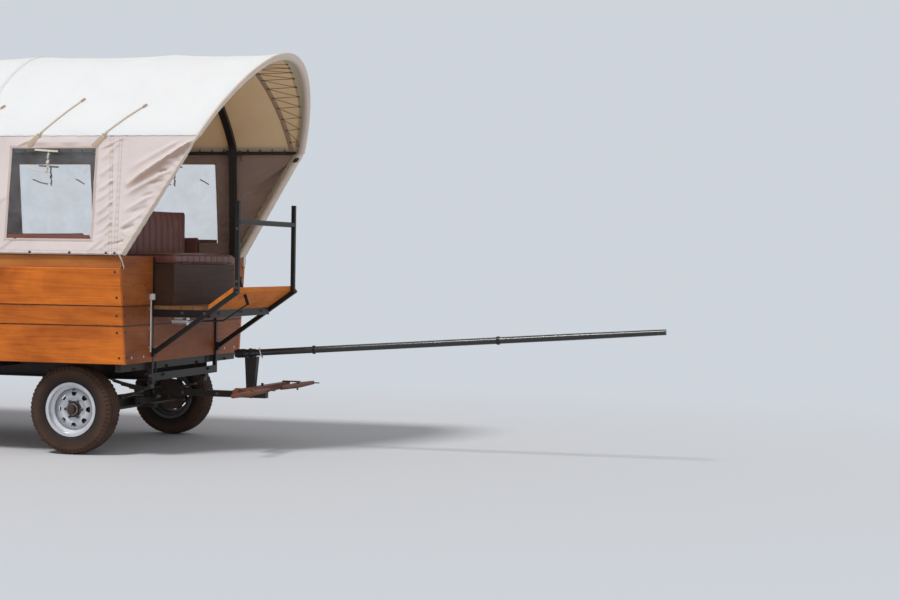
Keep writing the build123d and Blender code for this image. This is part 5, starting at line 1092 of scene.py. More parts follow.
# Lacing: a cord from each eyelet of the fold back to a sewn tape and on to the next eyelet
def makeLacing():
    f = frontFold
    cords, rings, tapes = [], [], []
    for side in (-1, 1):
        angles = np.radians(np.arange(f["laceFrom"], f["laceTo"], f["lacePitch"]))
        edge = frontEdge(roofSection(angles, 0.0)[1])
        inward = -roofNormal(side * angles)
        eyelets = onRoof(edge - atDegrees(f["widths"], angles) + 0.012, side * angles, -0.004) + 0.015 * inward
        between = angles + np.radians(0.6)
        backIn = -roofNormal(side * between)
        holes = onRoof(front + atDegrees(f["bandX"], between), side * between, -0.004) + 0.008 * backIn
        path = np.stack([eyelets, holes], 1).reshape(-1, 3)
        share = np.linspace(0, 1, 6, endpoint=False)[:, None]
        path = np.concatenate([a + (b - a) * share for a, b in zip(path, path[1:])] + [path[-1:]])
        cords.append(tube(path, f["lace"] / 2, 6, up=(0.3, 0.1, 1)))
        rings += [placed(ring(*f["eyelet"]), p, d) for p, d in zip(eyelets, inward)]
        rings += [placed(ring(*f["hole"]), p, d) for p, d in zip(holes, backIn)]
        span = np.radians(np.linspace(8, 57.5, 50))
        tape = onRoof(front + atDegrees(f["bandX"], span) - 0.006, side * span, -0.004)
        tapes.append(band(tape - 0.0035 * roofNormal(side * span), (1, 0, 0), f["tape"], 0.003))
        # the end is tied off round the hoop at the eave
        knot = eyelets[-1] + np.array([0.0, -0.004 * side, -0.03])
        t = np.linspace(0, 2 * np.pi, 24, endpoint=False)
        loop = knot + f["knot"] * np.stack([np.cos(t), 0.4 * np.sin(2 * t), np.sin(t)], -1)
        cords.append(tube(loop, f["knotCord"], 6, closed=True, up=(0.3, 0.1, 1)))
        tail = knot + np.stack([0.010 - 0.02 * t / 6.3, -0.003 * side * np.sin(t), -0.012 * t], -1)
        cords.append(tube(tail, f["tailCord"], 6, up=(1, 0.2, 0)))
    return [
        makePiece("frontLacing", cords, "lace"), makePiece("lacingEyelets", rings, "hubRust"),
        makePiece("lacingTape", tapes, "tapeTan"),
    ]


lacing = makeLacing()
print("front fold and lacing made")


# ---- what is sewn on and fastened to the curtains

trim = dict(
    tape=0.020, paneLap=0.006, strip=0.035, strap=0.042, overRoof=0.013, tie=0.015, screwGap=0.33, screwUp=0.013,
    straps=((0.134, 0, 45.9), (-0.025, 1, 48.6)), strapTop=2.339, eaveRun=0.098, roofRun=0.225,
    firstScrews=(-0.04, -0.11, -0.41, -0.74), strapRise=0.86, tab=(0.044, 0.026, 0.003), knot=(0.024, 0.022, 0.016),
    bar=((0.192, 2.318), (0.387, 2.305)), fallFrom=0.308, fallTop=2.305, fallStep=0.0165, strand=0.0042,
    welt=0.016, seamRow=0.0105, hemRows=(0.0300, 0.0050), eyelet=(0.0115, 0.0026), screwHead=(0.0098, 0.005, 14),
    hook=(0.010, 1.205, 1.437), hookHead=(0.009, 0.005), paneStitch=(0.0115, 0.007), seamStitch=(0.019, 0.010),
    tieEnds=(  # from a window's rear edge, and height
        ((0.125, 2.197), (0.20, 2.168), (0.275, 2.154)), ((0.549, 2.20), (0.581, 2.184), (0.632, 2.154)),
    ),
)


# Height along the curtain's slope of a level
def upAt(z):
    return (z - canopy["hemZ"]) / math.cos(curtains["lean"])


# A path on a curtain's outer face through a few (x, up) corners, with a point every two centimetres
def curtainPath(side, seed, corners, more):
    parts = []
    for (x0, up0), (x1, up1) in zip(corners, corners[1:]):
        share = np.linspace(0, 1, max(3, int(np.hypot(x1 - x0, up1 - up0) / 0.020)))
        part = np.stack([x0 + (x1 - x0) * share, up0 + (up1 - up0) * share])
        parts.append(part[:, 1:] if parts else part)
    return onCurtainCloth(side, seed, *np.concatenate(parts, 1), more)


def curtainBand(side, seed, corners, width, thickness=0.0016, more=0.0):
    return strip(curtainPath(side, seed, corners, 0.0015 + thickness / 2 + more), clothNormal(side), width, thickness)


# Clear sheets in the windows, sewn between tapes, with a red-brown strip along their foot
def makeWindows(label, side, seed):
    ends, low, high = windowEdges()
    panes, tapes, seams, strips, inner = [], [], [], [], []
    t, lap = trim["tape"], trim["paneLap"]
    for a, b in ends:
        x, up = np.linspace(a - lap, b + lap, 36), np.linspace(low - lap, high + lap, 34)
        xs, ups = np.meshgrid(x, up, indexing="ij")
        panes.append(gridShape(onCurtainCloth(side, seed, xs, ups)[:, ::side]))
        left, right, foot, head = a - 0.4 * t, b + 0.4 * t, low - 0.4 * t, high + 0.4 * t
        for corners in (
            ((left, low - t), (left, high + t)), ((right, low - t), (right, high + t)),
            ((a - t, foot), (b + t, foot)), ((a - t, head), (b + t, head)),
        ):
            tapes.append(curtainBand(side, seed, corners, t))
            inner.append(curtainBand(side, seed, corners, t, more=-0.0046))
            path = curtainPath(side, seed, corners, 0.0035)
            seams.append(stitches(path, clothNormal(side), *trim["paneStitch"]))
        corners = ((a + 0.01, low + 0.014), (b - 0.01, low + 0.014))
        strips.append(curtainBand(side, seed, corners, trim["strip"], 0.0014, -0.0006))
    return [
        makeSheet("windowSheets" + label, joined(panes), ("vinyl",), 0.001),
        makePiece("windowTapes" + label, tapes, "binding"),
        # the tapes on the inner face take the curtain's painted inner shade
        makePiece("windowTapesInside" + label, inner, "curtainInside"),
        makePiece("windowStitches" + label, seams, "thread"),
        makePiece("windowStrips" + label, strips, "redStrip"),
    ]


# Straps that hold the curtain up to the roof, one by each end of a window, and sewn tie tapes
def makeStraps(label, side, seed):
    t = trim
    broad, narrow, tabs, ties = [], [], [], []
    eave, out, along = canopy["eaveAngle"], clothNormal(side), np.array([1.0, 0, 0])
    for low, high in windowEdges()[0]:
        for shift, fromHigh, endAngle in t["straps"]:
            x = (high if fromHigh else low) + shift
            rise = np.linspace(0, t["strapRise"], 10)
            up = upAt(t["strapTop"]) + rise * (curtains["height"] - upAt(t["strapTop"]))
            lower = onCurtainCloth(side, seed, x + t["eaveRun"] * rise, up, 0.0035)
            lower = np.concatenate([lower, lower[-1:] + np.array([[0.008, side * 0.011, 0.012]])])
            broad.append(strip(lower, out, t["strap"], 0.0026))
            turn = onRoof(np.array([x + t["eaveRun"] * 1.02]), np.array([side * eave]), 0.012)
            over = x + t["eaveRun"] + t["roofRun"] * np.linspace(0.04, 1, 16)
            upper = onRoof(over, side * np.linspace(eave - 0.012, math.radians(endAngle), 16), 0.005)
            path = smoothThrough(np.concatenate([lower[-3:-1], turn, upper]), 2)
            away = onRoof(path[:, 0], side * 0.9, 1.0) - onRoof(path[:, 0], side * 0.9, 0.0)
            narrow.append(strip(path, away, t["overRoof"], 0.006))
            run = upper[-1] - upper[-2]
            normal = roofNormal(math.radians(endAngle)) * (1, side, 1)
            tab = roundedBlock(t["tab"], 0.006, 0.001)
            tabs.append(placed(tab, upper[-1] + run * 0.8 - normal * 0.0015, normal, run))
        # the tapes that tie up a rolled cover
        bar = [(low + x, upAt(z)) for x, z in t["bar"]]
        ties.append(curtainBand(side, seed, bar, t["tie"], 0.003, 0.001))
        drop = [(0.004 * math.sin(k * 1.9), t["fallTop"] - t["fallStep"] * k) for k in range(11)]
        fall = [(low + t["fallFrom"] + x, upAt(z)) for x, z in drop]
        path = curtainPath(side, seed, fall, 0.006)
        twist = np.linspace(0, 22, len(path))[:, None]
        for half in (0, np.pi):
            strand = path + t["strand"] * (np.cos(twist + half) * along + np.sin(twist + half) * out)
            ties.append(band(strand, np.cos(twist) * along + 0.3 * out, 0.011, 0.0036))
        knot = roundedBlock(t["knot"], 0.007, 0.004)
        ties.append(placed(knot, path[len(path) // 2], out, (1, 0, 0.2)))
        for ends in t["tieEnds"]:
            corners = [(low + x, upAt(z)) for x, z in ends]
            ties.append(curtainBand(side, seed, corners, 0.011, 0.002, 0.001))
    makePiece("curtainStraps" + label, broad, "tanStrap")
    makePiece("roofStraps" + label, narrow, "roofStrap")
    # the tabs take the curtain's dark painted-shade canvas
    makePiece("strapTabs" + label, tabs, "curtainInside")
    makePiece("tieTapes" + label, ties, "rope")


# Hem eyelets with their screws, the two upright seams near the front, and the corner tie
def makeHem(label, side, seed):
    t, out = trim, clothNormal(side)
    xs = [front + v for v in t["firstScrews"]]
    while xs[-1] > rear + t["screwGap"]:
        xs.append(xs[-1] - t["screwGap"])
    places = onCurtainCloth(side, seed, np.array(xs), t["screwUp"], 0.0032)
    up = np.linspace(0.004, curtains["height"] - 0.02, 90)
    welts, rows = [], []
    for seam, slant in curtains["seams"]:
        x = front + seam + slant * up
        welts.append(strip(onCurtainCloth(side, seed, x, up, 0.0020), out, t["welt"], 0.0012))
        for shift in (-t["seamRow"], t["seamRow"]):
            path = onCurtainCloth(side, seed, x + shift, up, 0.0019)
            rows.append(stitches(path, out, *t["seamStitch"], 0.0040, 0.0018))
    x = np.linspace(rear + 0.02, front - 0.05, 900)
    for level in t["hemRows"]:
        rows.append(stitches(onCurtainCloth(side, seed, x, level, 0.0032), out, 0.0125, 0.007))
    corner = onCurtainCloth(side, seed, np.array([front - 0.004]), 0.006, 0.005)[0]
    hook = np.array([front, 0, 0]) + t["hook"] * np.array([1, side, 1])
    middle = (corner + hook) / 2
    loop = [
        corner + (0, 0, 0.006), corner + (0.007, 0, -0.004), middle + (0.010, side * 0.004, 0),
        hook + (0.004, side * 0.007, 0), hook + (0.002, 0, -0.008), hook + (0.004, -side * 0.007, 0),
        middle + (0.003, -side * 0.006, 0), corner + (-0.004, -side * 0.002, -0.002),
    ]
    tie = tube(smoothThrough(loop, 6, closed=True), 0.0030, 7, closed=True, up=(1, 0.2, 0.1))
    neck = spun([(0, 0.0035), (0.012, 0.0035), (0.014, 0.007), (0.017, 0.006)], 10)
    screws = [
        scattered(domeHead(*t["screwHead"]), places - 0.0012 * out, out),
        placed(domeHead(*t["hookHead"]), (front - 0.0005, hook[1], hook[2] + 0.001), (1, 0, 0)),
        placed(neck, (front, hook[1], hook[2]), (1, 0, 0)),
    ]
    makePiece("hemEyelets" + label, scattered(ring(*t["eyelet"]), places, out), "zinc")
    makePiece("hemScrews" + label, screws, "hubRust")
    makePiece("seamWelts" + label, welts, "curtain")
    makePiece("seamStitches" + label, rows, "tanStrap")
    makePiece("cornerTie" + label, tie, "rope")


for label, side, seed in sides:
    pane, *sewn = makeWindows(label, side, seed)
    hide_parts("window_panes")
    makeStraps(label, side, seed)
    makeHem(label, side, seed)
print("curtain trimmings made")


# ---- bolts and fittings on the box

boxFittings = dict(
    levels=(1.403, 1.211, 1.075, 0.948, 0.757), first=0.04, frontBolts=(1.023, 0.81), frontBoltZ=0.754,
    foot=0.708, wallHeight=0.723, head=1.25, flare=0.095, edgeRow=1.20, conduitY=-0.700, sink=0.0004,
    conduit=(1.190, 1.0, 0.784), conduitRadius=0.0058, clips=(1.12, 0.97, 0.82), clipScrews=0.0135,
    junction=(0.032, 0.046, 0.048), junctionZ=1.212, clip=(0.0016, 0.036, 0.012), saddle=(0.0140, 0.015, 0.012),
    screwHead=(0.0095, 0.0042, 14), boltHead=(0.0105, 0.005, 14), edgeHead=(0.0085, 0.004, 14),
    clipHead=(0.0035, 0.0022, 10),
)


# How far the box has narrowed at a level
def flareAt(z):
    b = boxFittings
    return b["flare"] * (1 - (z - b["foot"]) / b["wallHeight"])


# The side planks' outer face at a level, and the way that it faces
def onBoxSide(side, x, z):
    b = boxFittings
    y = b["head"] - flareAt(z)
    t = math.atan(b["flare"] / b["wallHeight"])
    return np.array([x, side * y, z]), np.array([0, side * math.cos(t), -math.sin(t)])


def makeBoxFittings():
    b = boxFittings
    heads, bright = [], []
    columns = [front - b["first"]] + [place - 0.012 for place in bowPlaces()[1:-1]] + [rear + b["first"]]
    for side in (-1, 1):
        for k, x in enumerate(columns):
            for n, z in enumerate(b["levels"]):
                place, out = onBoxSide(side, x + 0.006 * math.sin(k * 2.3 + n * 1.7), z)
                heads.append(placed(domeHead(*b["screwHead"]), place - b["sink"] * out, out))
        for y in b["frontBolts"]:
            place = (front - b["sink"], side * y, b["frontBoltZ"])
            bright.append(placed(domeHead(*b["boltHead"]), place, (1, 0, 0)))
        for z in b["levels"][1:]:  # a row down the edge of the front boards and of the rear ones
            for x, way in ((front - b["sink"], 1), (rear + b["sink"], -1)):
                place = (x, side * (b["edgeRow"] - flareAt(z)), z)
                heads.append(placed(domeHead(*b["edgeHead"]), place, (way, 0, 0)))
    # a small junction box on the near post and its conduit down the front boards
    y = b["conduitY"]
    run = [(front + 0.007, y, z) for z in b["conduit"]]
    white = [
        placed(roundedBlock(b["junction"], 0.005, 0.003), (front + 0.016, y + 0.006, b["junctionZ"])),
        tube(run, b["conduitRadius"], 12, up=(1, 0, 0)),
    ]
    for z in b["clips"]:
        bright.append(placed(roundedBlock(b["clip"], 0.0007, 0.0003), (front + 0.0008, y, z)))
        bright.append(placed(roundedBlock(b["saddle"], 0.004, 0.0005), (front + 0.0068, y, z)))
        for shift in (-b["clipScrews"], b["clipScrews"]):
            bright.append(placed(domeHead(*b["clipHead"]), (front + 0.0014, y + shift, z), (1, 0, 0)))
    makePiece("boxScrews", heads, "hubRust")
    makePiece("brightBolts", bright, "zinc")
    makePiece("whiteConduit", white, "whitePaint")


makeBoxFittings()
print("box fittings made")


# ---- wheels and tyres

wheelValues = dict(
    track=1.85, z=0.343, face=0.022, shoulder=0.003, drumBack=-0.035, drumRadius=0.128, onTop=0.0007,
    hubRadius=0.046, hubNose=0.034, lugs=6, lugCircle=0.067, lugSize=0.019, lugHeight=0.016, lugTurn=0.52,
    radius=0.343, halfWidth=0.1025, seat=0.1903, bead=0.0767, rim=0.208, shoulderRadius=0.272,
    grooves=(-0.056, -0.020, 0.020, 0.056), grooveWidth=0.0085, grooveDepth=0.0075, zigzag=0.0024,
    notches=60, notchDeep=0.0050, notchOut=0.0032, rings=(0.226, 0.262, 0.303), ringHeight=0.0016, ringHalf=0.004,
    edgeIn=0.016, edgeDown=0.010, crownHalf=0.066, shoulderFrom=0.0665, shoulderLine=0.312, sideLine=0.308,
    inside=((0.058, 0.25), (0.055, 0.312)), notchSteps=(0.0, 0.09, 0.42, 0.51), valve=(0.0, 0.1555, 0.016),
)


# Points on the circle through three points
def arcThrough(a, b, c, count):
    (ax, ay), (bx, by), (cx, cy) = a, b, c
    a2, b2, c2 = (x * x + y * y for x, y in (a, b, c))
    d = 2 * (ax * (by - cy) + bx * (cy - ay) + cx * (ay - by))
    x0 = (a2 * (by - cy) + b2 * (cy - ay) + c2 * (ay - by)) / d
    y0 = (a2 * (cx - bx) + b2 * (ax - cx) + c2 * (bx - ax)) / d
    start, end = math.atan2(ay - y0, ax - x0), math.atan2(cy - y0, cx - x0)
    turn = (end - start + math.pi) % (2 * math.pi) - math.pi
    t = start + turn * np.linspace(0, 1, count)
    r = math.hypot(ax - x0, ay - y0)
    return np.stack([x0 + r * np.cos(t), y0 + r * np.sin(t)], -1)


# A tyre about Z: rows round it, columns across its section, with grooves, notches, sidewall ribs and bead rings
def makeTyre():
    w = wheelValues
    edge = w["halfWidth"] - w["edgeIn"], w["radius"] - w["edgeDown"]
    (outer, low), (inner, high) = w["inside"]
    half, lip, inset = w["grooveWidth"] / 2, 0.0008, 0.016
    side = arcThrough((w["bead"], w["rim"] + 0.004), (w["halfWidth"], w["shoulderRadius"]), edge, 13)[:-1]
    crown = [g + way * half + k for g in w["grooves"] for way in (-1, 1) for k in (-lip, lip)]
    crown = np.concatenate([crown, np.linspace(-edge[0], edge[0], 9), (w["crownHalf"], -w["crownHalf"])])
    crown = np.unique(np.round(crown, 5))[::-1]
    rise = arcThrough(edge, (0, w["radius"]), (-edge[0], edge[1]), 81)[::-1]
    section = np.concatenate([
        [(w["bead"] - inset, w["seat"]), (w["bead"], w["seat"])], side,
        np.stack([crown, np.interp(crown, rise[:, 0], rise[:, 1])], -1),
        (side * (-1, 1))[::-1], [(-w["bead"], w["seat"]), (-w["bead"] + inset, w["seat"])],
        [(-outer, low), (-inner, high), (inner, high), (outer, low)],
    ])
    place = np.arange(len(section))
    first = 2 + len(side)
    isCrown = (place >= first) & (place < first + len(crown))
    isSide = (place >= 2) & (place < len(section) - 6) & ~isCrown
    across, r = section.T
    inGroove = (np.abs(across[:, None] - np.array(w["grooves"])) < half).any(1) & isCrown
    around = np.arange(w["notches"] * 4)
    quarter = around % 4
    angle = (around // 4 + np.array(w["notchSteps"])[quarter]) * 2 * np.pi / w["notches"]
    zigzag = np.array([-1.0, 1.0, 1.0, -1.0])[quarter, None] * w["zigzag"]
    notch = np.isin(quarter, (1, 2))[:, None]
    axial = across[None] + zigzag * (isCrown & (np.abs(across) < w["crownHalf"]))[None]
    radial = r[None] - (w["grooveDepth"] * inGroove)[None]
    isShoulder = (np.abs(across) > w["shoulderFrom"]) & (r > w["shoulderLine"]) & (isCrown | isSide)
    radial = radial - w["notchDeep"] * notch * isShoulder[None]
    axial = axial - w["notchOut"] * np.sign(axial) * notch * ((r > w["sideLine"]) & isSide)[None]
    raised = (np.abs(r[:, None] - np.array(w["rings"])) < w["ringHalf"]).any(1) & isSide
    axial = axial + np.sign(axial) * w["ringHeight"] * raised[None]
    points = np.stack([radial * np.cos(angle)[:, None], radial * np.sin(angle)[:, None], axial], -1)
    return gridShape(points, True, True)


# Dark covers over the hub with its nuts and grease cap, a cover over the drum, and the valve's stem
def makeHubShapes():
    w = wheelValues
    f, h, drum, gap = w["face"], w["hubRadius"], w["drumRadius"], w["onTop"]
    nose, back, near = f + w["hubNose"], w["drumBack"] - 0.0006, w["shoulder"]
    hub = spun([
        (f - 0.002, h + 0.018), (f + 0.0012, h + 0.0165), (f + 0.0045, h + 0.0048), (nose - 0.003, h - 0.0010),
        (nose + gap, h - 0.004), (nose + gap, 0.034), (nose + 0.004, 0.0335), (nose + 0.017, 0.031),
        (nose + 0.023, 0.027), (nose + 0.0255, 0.018), (nose + 0.0262, 0.001),
    ], 48)
    cover = spun([
        (back, drum - 0.010), (back, drum + gap), (-0.030, drum + 0.003), (-0.026, drum + 0.003),
        (-0.025, drum + gap), (near - 0.002, drum + gap), (near + gap, drum - 0.001), (near + gap, 0.0815),
        (near - 0.0005, 0.0815), (near - 0.0005, drum - 0.002),
    ], 56, closed=True)
    height, r = w["lugHeight"] + 0.001, w["lugSize"] / math.sqrt(3) + gap
    nut = spun([
        (0, r * 1.12), (0.0022, r * 1.12), (0.0024, r), (height - 0.002, r), (height + 0.0008, r * 0.8),
        (height + 0.001, r * 0.52), (height + 0.007, r * 0.5), (height + 0.008, r * 0.4),
    ], 6)
    nuts = []
    for turn in np.arange(w["lugs"]) * 2 * np.pi / w["lugs"]:
        spot = (w["lugCircle"] * math.cos(turn), w["lugCircle"] * math.sin(turn), f - 0.001)
        nuts.append(placed(nut, spot, across=(math.cos(turn + w["lugTurn"]), math.sin(turn + w["lugTurn"]), 0)))
    stem = spun([
        (0, 0.0055), (0.010, 0.0048), (0.012, 0.0036), (0.026, 0.0036), (0.0262, 0.0045), (0.034, 0.0045),
        (0.035, 0.0035),
    ], 12)
    return joined([hub] + nuts), cover, placed(stem, w["valve"], (0, -0.25, 1))


def makeWheels():
    w = wheelValues
    tyreShape = makeTyre()
    hub, cover, valve = makeHubShapes()
    for label, side in (("left", 1), ("right", -1)):
        for end in ("front", "rear"):
            body, name = f"wheel_{end}_{label}", end.title() + label.title()
            low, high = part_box(body)
            centre = np.array([(low.x + high.x) / 2, side * w["track"] / 2, w["z"]])
            for kind, shape, look, smooth in (
                ("tyre", tyreShape, "tyre", 27), ("hubCover", hub, "hubRust", 35),
                ("drumCover", cover, "blackSteel", 35), ("valve", valve, "darkRubber", 40),
            ):
                shape = placed(shape, centre, (0, side, 0), (1, 0, 0))
                piece = makePiece(kind + name, shape, look, body=body, smooth=smooth)
                if kind == "tyre":
                    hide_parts(f"tyre_{end}_{label}")


makeWheels()
print("wheels made")


# ---- cushions

padValues = dict(
    crown=0.012, channelDeep=0.009, channelWidth=0.008, pull=0.007, pipe=0.0046, around=48, roundness=7,
    seatBase=1.4653, driverBack=0.060, driverSeat=0.090, channels=10, sections=4, benchSeatDepth=0.349, benchSeat=0.060,
    benchBack=0.045, benchInner=0.712, benchTop=1.1643, backLow=1.285, sectionGap=0.003, benchChannels=9,
    endRound=0.014, driverFill=0.8, benchFill=0.75, bulge=0.004, swell=0.003, wrinkles=(0.0022, 0.0011),
    pipeIn=(0.0035, 0.0025), pipeLevel=0.007,
)


# A superellipse's outline, resampled to even steps along itself; returns its unit values too
def softOutline(halfWidth, halfHeight, power, count):
    t = np.linspace(0, 2 * np.pi, 4001)
    y, z = (np.sign(v) * np.abs(v) ** (2 / power) for v in (np.cos(t), np.sin(t)))
    reach = np.concatenate([[0], np.cumsum(np.hypot(np.diff(y * halfWidth), np.diff(z * halfHeight)))])
    at = np.linspace(0, reach[-1], count, endpoint=False)
    return np.interp(at, reach, y), np.interp(at, reach, z)


# A padded cushion about the origin: length along X, depth along Y, its resting face at -Z; the top is crowned,
# drawn in along sewn channels, and the sides pull in between the corners. Returns the pad and its piping
def makePad(length, depth, height, channels, seed):
    v = padValues
    pitch, rounding = length / channels, v["endRound"]
    steps = np.array([0, 0.04, 0.10, 0.25, 0.5, 0.75, 0.90, 0.96])
    caps = np.array([0, 0.0006, 0.0022, 0.005, 0.009, rounding])
    columns = (np.arange(channels)[:, None] + steps).ravel() * pitch
    x = np.unique(np.concatenate([columns, caps, length - caps])) - length / 2
    s = 2 * x[:, None] / length
    toEnd = np.clip((length / 2 - np.abs(x)) / rounding, 0, 1)
    ends = np.sqrt(1 - (1 - toEnd) ** 2)[:, None]
    y0, z0 = softOutline(depth / 2, height / 2, v["roundness"], v["around"])
    x = x[:, None] + 0 * y0[None]
    y = y0[None] * (depth / 2 - rounding * (1 - ends))
    z = z0[None] * height / 2 * (0.02 + 0.98 * ends)
    y[0], y[-1] = y[0] * 0.3, y[-1] * 0.3
    across = np.clip(1 - (2 * y / depth) ** 4, 0, 1)
    along = np.clip(1 - s ** 8, 0, 1)
    part = (x + length / 2) / pitch
    toSeam = np.abs(part - np.round(part)) * pitch
    inner = (np.abs(x) < length / 2 - pitch * 0.5) * (channels > 1)
    groove = np.exp(-(toSeam / v["channelWidth"]) ** 1.3) * inner
    bulge = np.sqrt(np.clip(np.sin(np.pi * (part % 1.0)), 0, 1))
    wide, fine = v["wrinkles"]
    wrinkle = wide * unevenness(x, y + 3 * z, 0.09, seed) + fine * unevenness(x * 2, y, 0.05, seed + 5)
    rise = v["crown"] * (across * along - 1) + v["bulge"] * (bulge - 1) + wrinkle * along
    rise = rise - v["channelDeep"] * groove * (0.4 + 0.6 * across)
    z = np.maximum(z + np.clip(z0, 0, 1)[None] ** 2 * ends * rise, -height / 2)
    middle = np.clip(1 - np.abs(z0) ** 6, 0, 1)[None]
    y = y - v["pull"] * (1 - s ** 2) * y0[None] ** 5 * ends
    y = y - np.clip(y0, 0, 1)[None] ** 3 * v["channelDeep"] * 0.5 * groove * middle
    y = y + v["swell"] * np.sign(y0)[None] * middle * ends * np.abs(y0[None]) ** 8  # the boxed sides swell a little
    px, py = softOutline(length / 2, depth / 2, 40, 96)
    px, py = px * (length / 2 - v["pipeIn"][0]), py * (depth / 2 - v["pipeIn"][1])
    py = py - v["pull"] * (1 - (2 * px / length) ** 2) * (2 * py / depth) ** 5
    levels = height / 2 - v["crown"] - v["pipeLevel"], -height / 2 + v["pipeLevel"]  # round the top seam and the foot
    pipes = [tube(np.stack([px, py, 0 * px + level], -1), v["pipe"], 6, closed=True) for level in levels]
    return capped(np.stack([x, y, z], -1)), joined(pipes)


# Turns a pad about the origin to a place: its length, front and top go along the given directions
def turned(shape, centre, length, ahead, top):
    turn = np.stack([np.asarray(v, float) for v in (length, ahead, top)])
    points = shape[0] @ turn + np.asarray(centre, float)
    return points, ([a[:, ::-1] for a in shape[1]] if np.linalg.det(turn) < 0 else shape[1])


# The driver's seat and back, and four sections of seat and back on each bench
def makeCushions():
    v = padValues
    x, y, z = (1, 0, 0), (0, 1, 0), (0, 0, 1)

    # Pads and piping that stand for a node: each copy has its pad, centre, length, front and top
    def cushions(label, copies, node):
        pads, pipes = ([turned(pad[k], *place) for pad, *place in copies] for k in (0, 1))
        piece = makePiece(label[0], pads, "seat", smooth=50)
        makePiece(label[1], pipes, "piping", smooth=60)
        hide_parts(node)

    low, high = (np.array(c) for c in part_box("driver_cushions"))
    width, back, seat = high[1] - low[1] - 0.002, v["driverBack"], v["driverSeat"]
    cushions(("driverPads", "driverPiping"), [
        (makePad(width, high[0] - low[0] - back - 0.008, seat, v["channels"], 5),
         ((low[0] + high[0] + back) / 2 + 0.003, 0, v["seatBase"] + seat / 2), y, x, z),
        (makePad(width, high[2] - v["seatBase"] - 0.004, back, v["channels"], 9),
         (low[0] + back / 2, 0, (v["seatBase"] + high[2]) / 2), y, z, x),
    ], "driver_cushions")
    low, high = (np.array(c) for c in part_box("bench_cushions"))
    length, depth = (high[0] - low[0]) / v["sections"], v["benchSeatDepth"]
    seat = makePad(length - v["sectionGap"], depth, v["benchSeat"], v["benchChannels"], 15)
    back = makePad(length - v["sectionGap"], high[2] - v["backLow"] - 0.002, v["benchBack"], v["benchChannels"], 19)
    for name, side in (("Left", 1), ("Right", -1)):
        seatY, backY = side * (v["benchInner"] + (depth + 0.006) / 2), side * (high[1] - v["benchBack"] / 2)
        inward, copies = (0, -side, 0), []
        for k in range(v["sections"]):
            middle = low[0] + (k + 0.5) * length
            copies.append((seat, (middle, seatY, v["benchTop"] + v["benchSeat"] / 2), x, inward, z))
            copies.append((back, (middle, backY, (v["backLow"] + high[2]) / 2), x, z, inward))
        cushions(("benchPads" + name, "benchPiping" + name), copies, "bench_cushions")


makeCushions()
print("cushions made")


# ---- small fastenings

# The place and outward direction where a ray meets a node
def hitPlace(node, origin, direction):
    if node not in surfaces:
        mesh = nodes[node].data
        faces = [tuple(face.vertices) for face in mesh.polygons]
        surfaces[node] = BVHTree.FromPolygons([v.co for v in mesh.vertices], faces)
    place, normal, _, _ = surfaces[node].ray_cast(Vector(origin), Vector(direction))
    if place is None:
        print("no surface of", node, "from", origin)
        return None
    normal = np.array(normal)
    if normal @ np.array(direction) > 0:
        normal = -normal
    return np.array(place), normal


surfaces = {}
# A node, the way the ray goes, and where it starts: bolts go where it meets the node
boltRays = [
    ("platform_frame", (0, 1, 0), [(0.600, -2, 0.80), (0.600, -2, 1.09), (0.600, -2, 1.45), (0.600, -2, 0.60)]),
    ("platform_frame", (0, 1, 0), [(0.85, -2, 1.09), (1.05, -2, 1.09)]),
    ("platform_frame", (-1, 0, 0), [(3, -0.45, 1.09), (3, 0.45, 1.09), (3, 0.0, 1.09)]),
    ("platform_frame", (-1, 0, 0), [(3, -0.45, 0.60), (3, 0.45, 0.60)]),
    ("dash_rail", (0, 1, 0), [(1.298, -2, 1.29), (1.298, -2, 1.34), (1.298, -2, 1.745)]),
    ("chassis", (0, 1, 0), [(x, -2, 0.60) for x in (-4.0, -3.55, -2.66, -2.0, -1.4, -0.8, -0.34, 0.50)]),
    ("chassis", (0, 1, 0), [(x, -2, 0.675) for x in (-3.9, -2.9, -1.9, -0.9, 0.2)]),
    ("chassis", (-1, 0, 0), [(3, y, 0.66) for y in (-0.9, -0.3, 0.3, 0.9)]),
    ("rear_steps", (0, 1, 0), [(-4.20, -2, 0.60), (-4.16, -2, 0.56), (-4.42, -2, 0.30), (-4.30, -2, 0.45)]),
    ("drawbar", (0, 1, 0), [(0.35, -2, 0.43), (0.60, -2, 0.43), (0.90, -2, 0.43), (1.10, -2, 0.43)]),
    ("footboard", (-1, 0, 1), [(2.0, y, 0.41) for y in (-0.5, 0.0, 0.5)]),
    ("driver_locker", (-1, 0, 0), [(3, y, z) for y in (-0.58, 0.58) for z in (1.17, 1.42)]),
    ("bench_frames", (0, 1, 0), [(x, 0, z) for x in (-4.0, -3.0, -2.0, -1.0, 0.1) for z in (0.80, 1.12)]),
    ("rear_boards", (1, 0, 0), [(-6, y, z) for y in (-0.9, -0.5) for z in (0.80, 1.07, 1.30, 1.47)]),
    ("front_boards", (-1, 0, 0), [(3, y, z) for y in (-1.0, -0.8) for z in (1.0 + 0.06, 1.30, 1.47)]),
]
boltBodies = dict(drawbar="drawbar")
boltSizes = dict(nut=(0.017, 0.010, 0.006), head=(0.0065, 0.0028, 12), sink=0.0004)
roundHeads = ("footboard", "driver_locker", "bench_frames", "rear_boards", "front_boards")


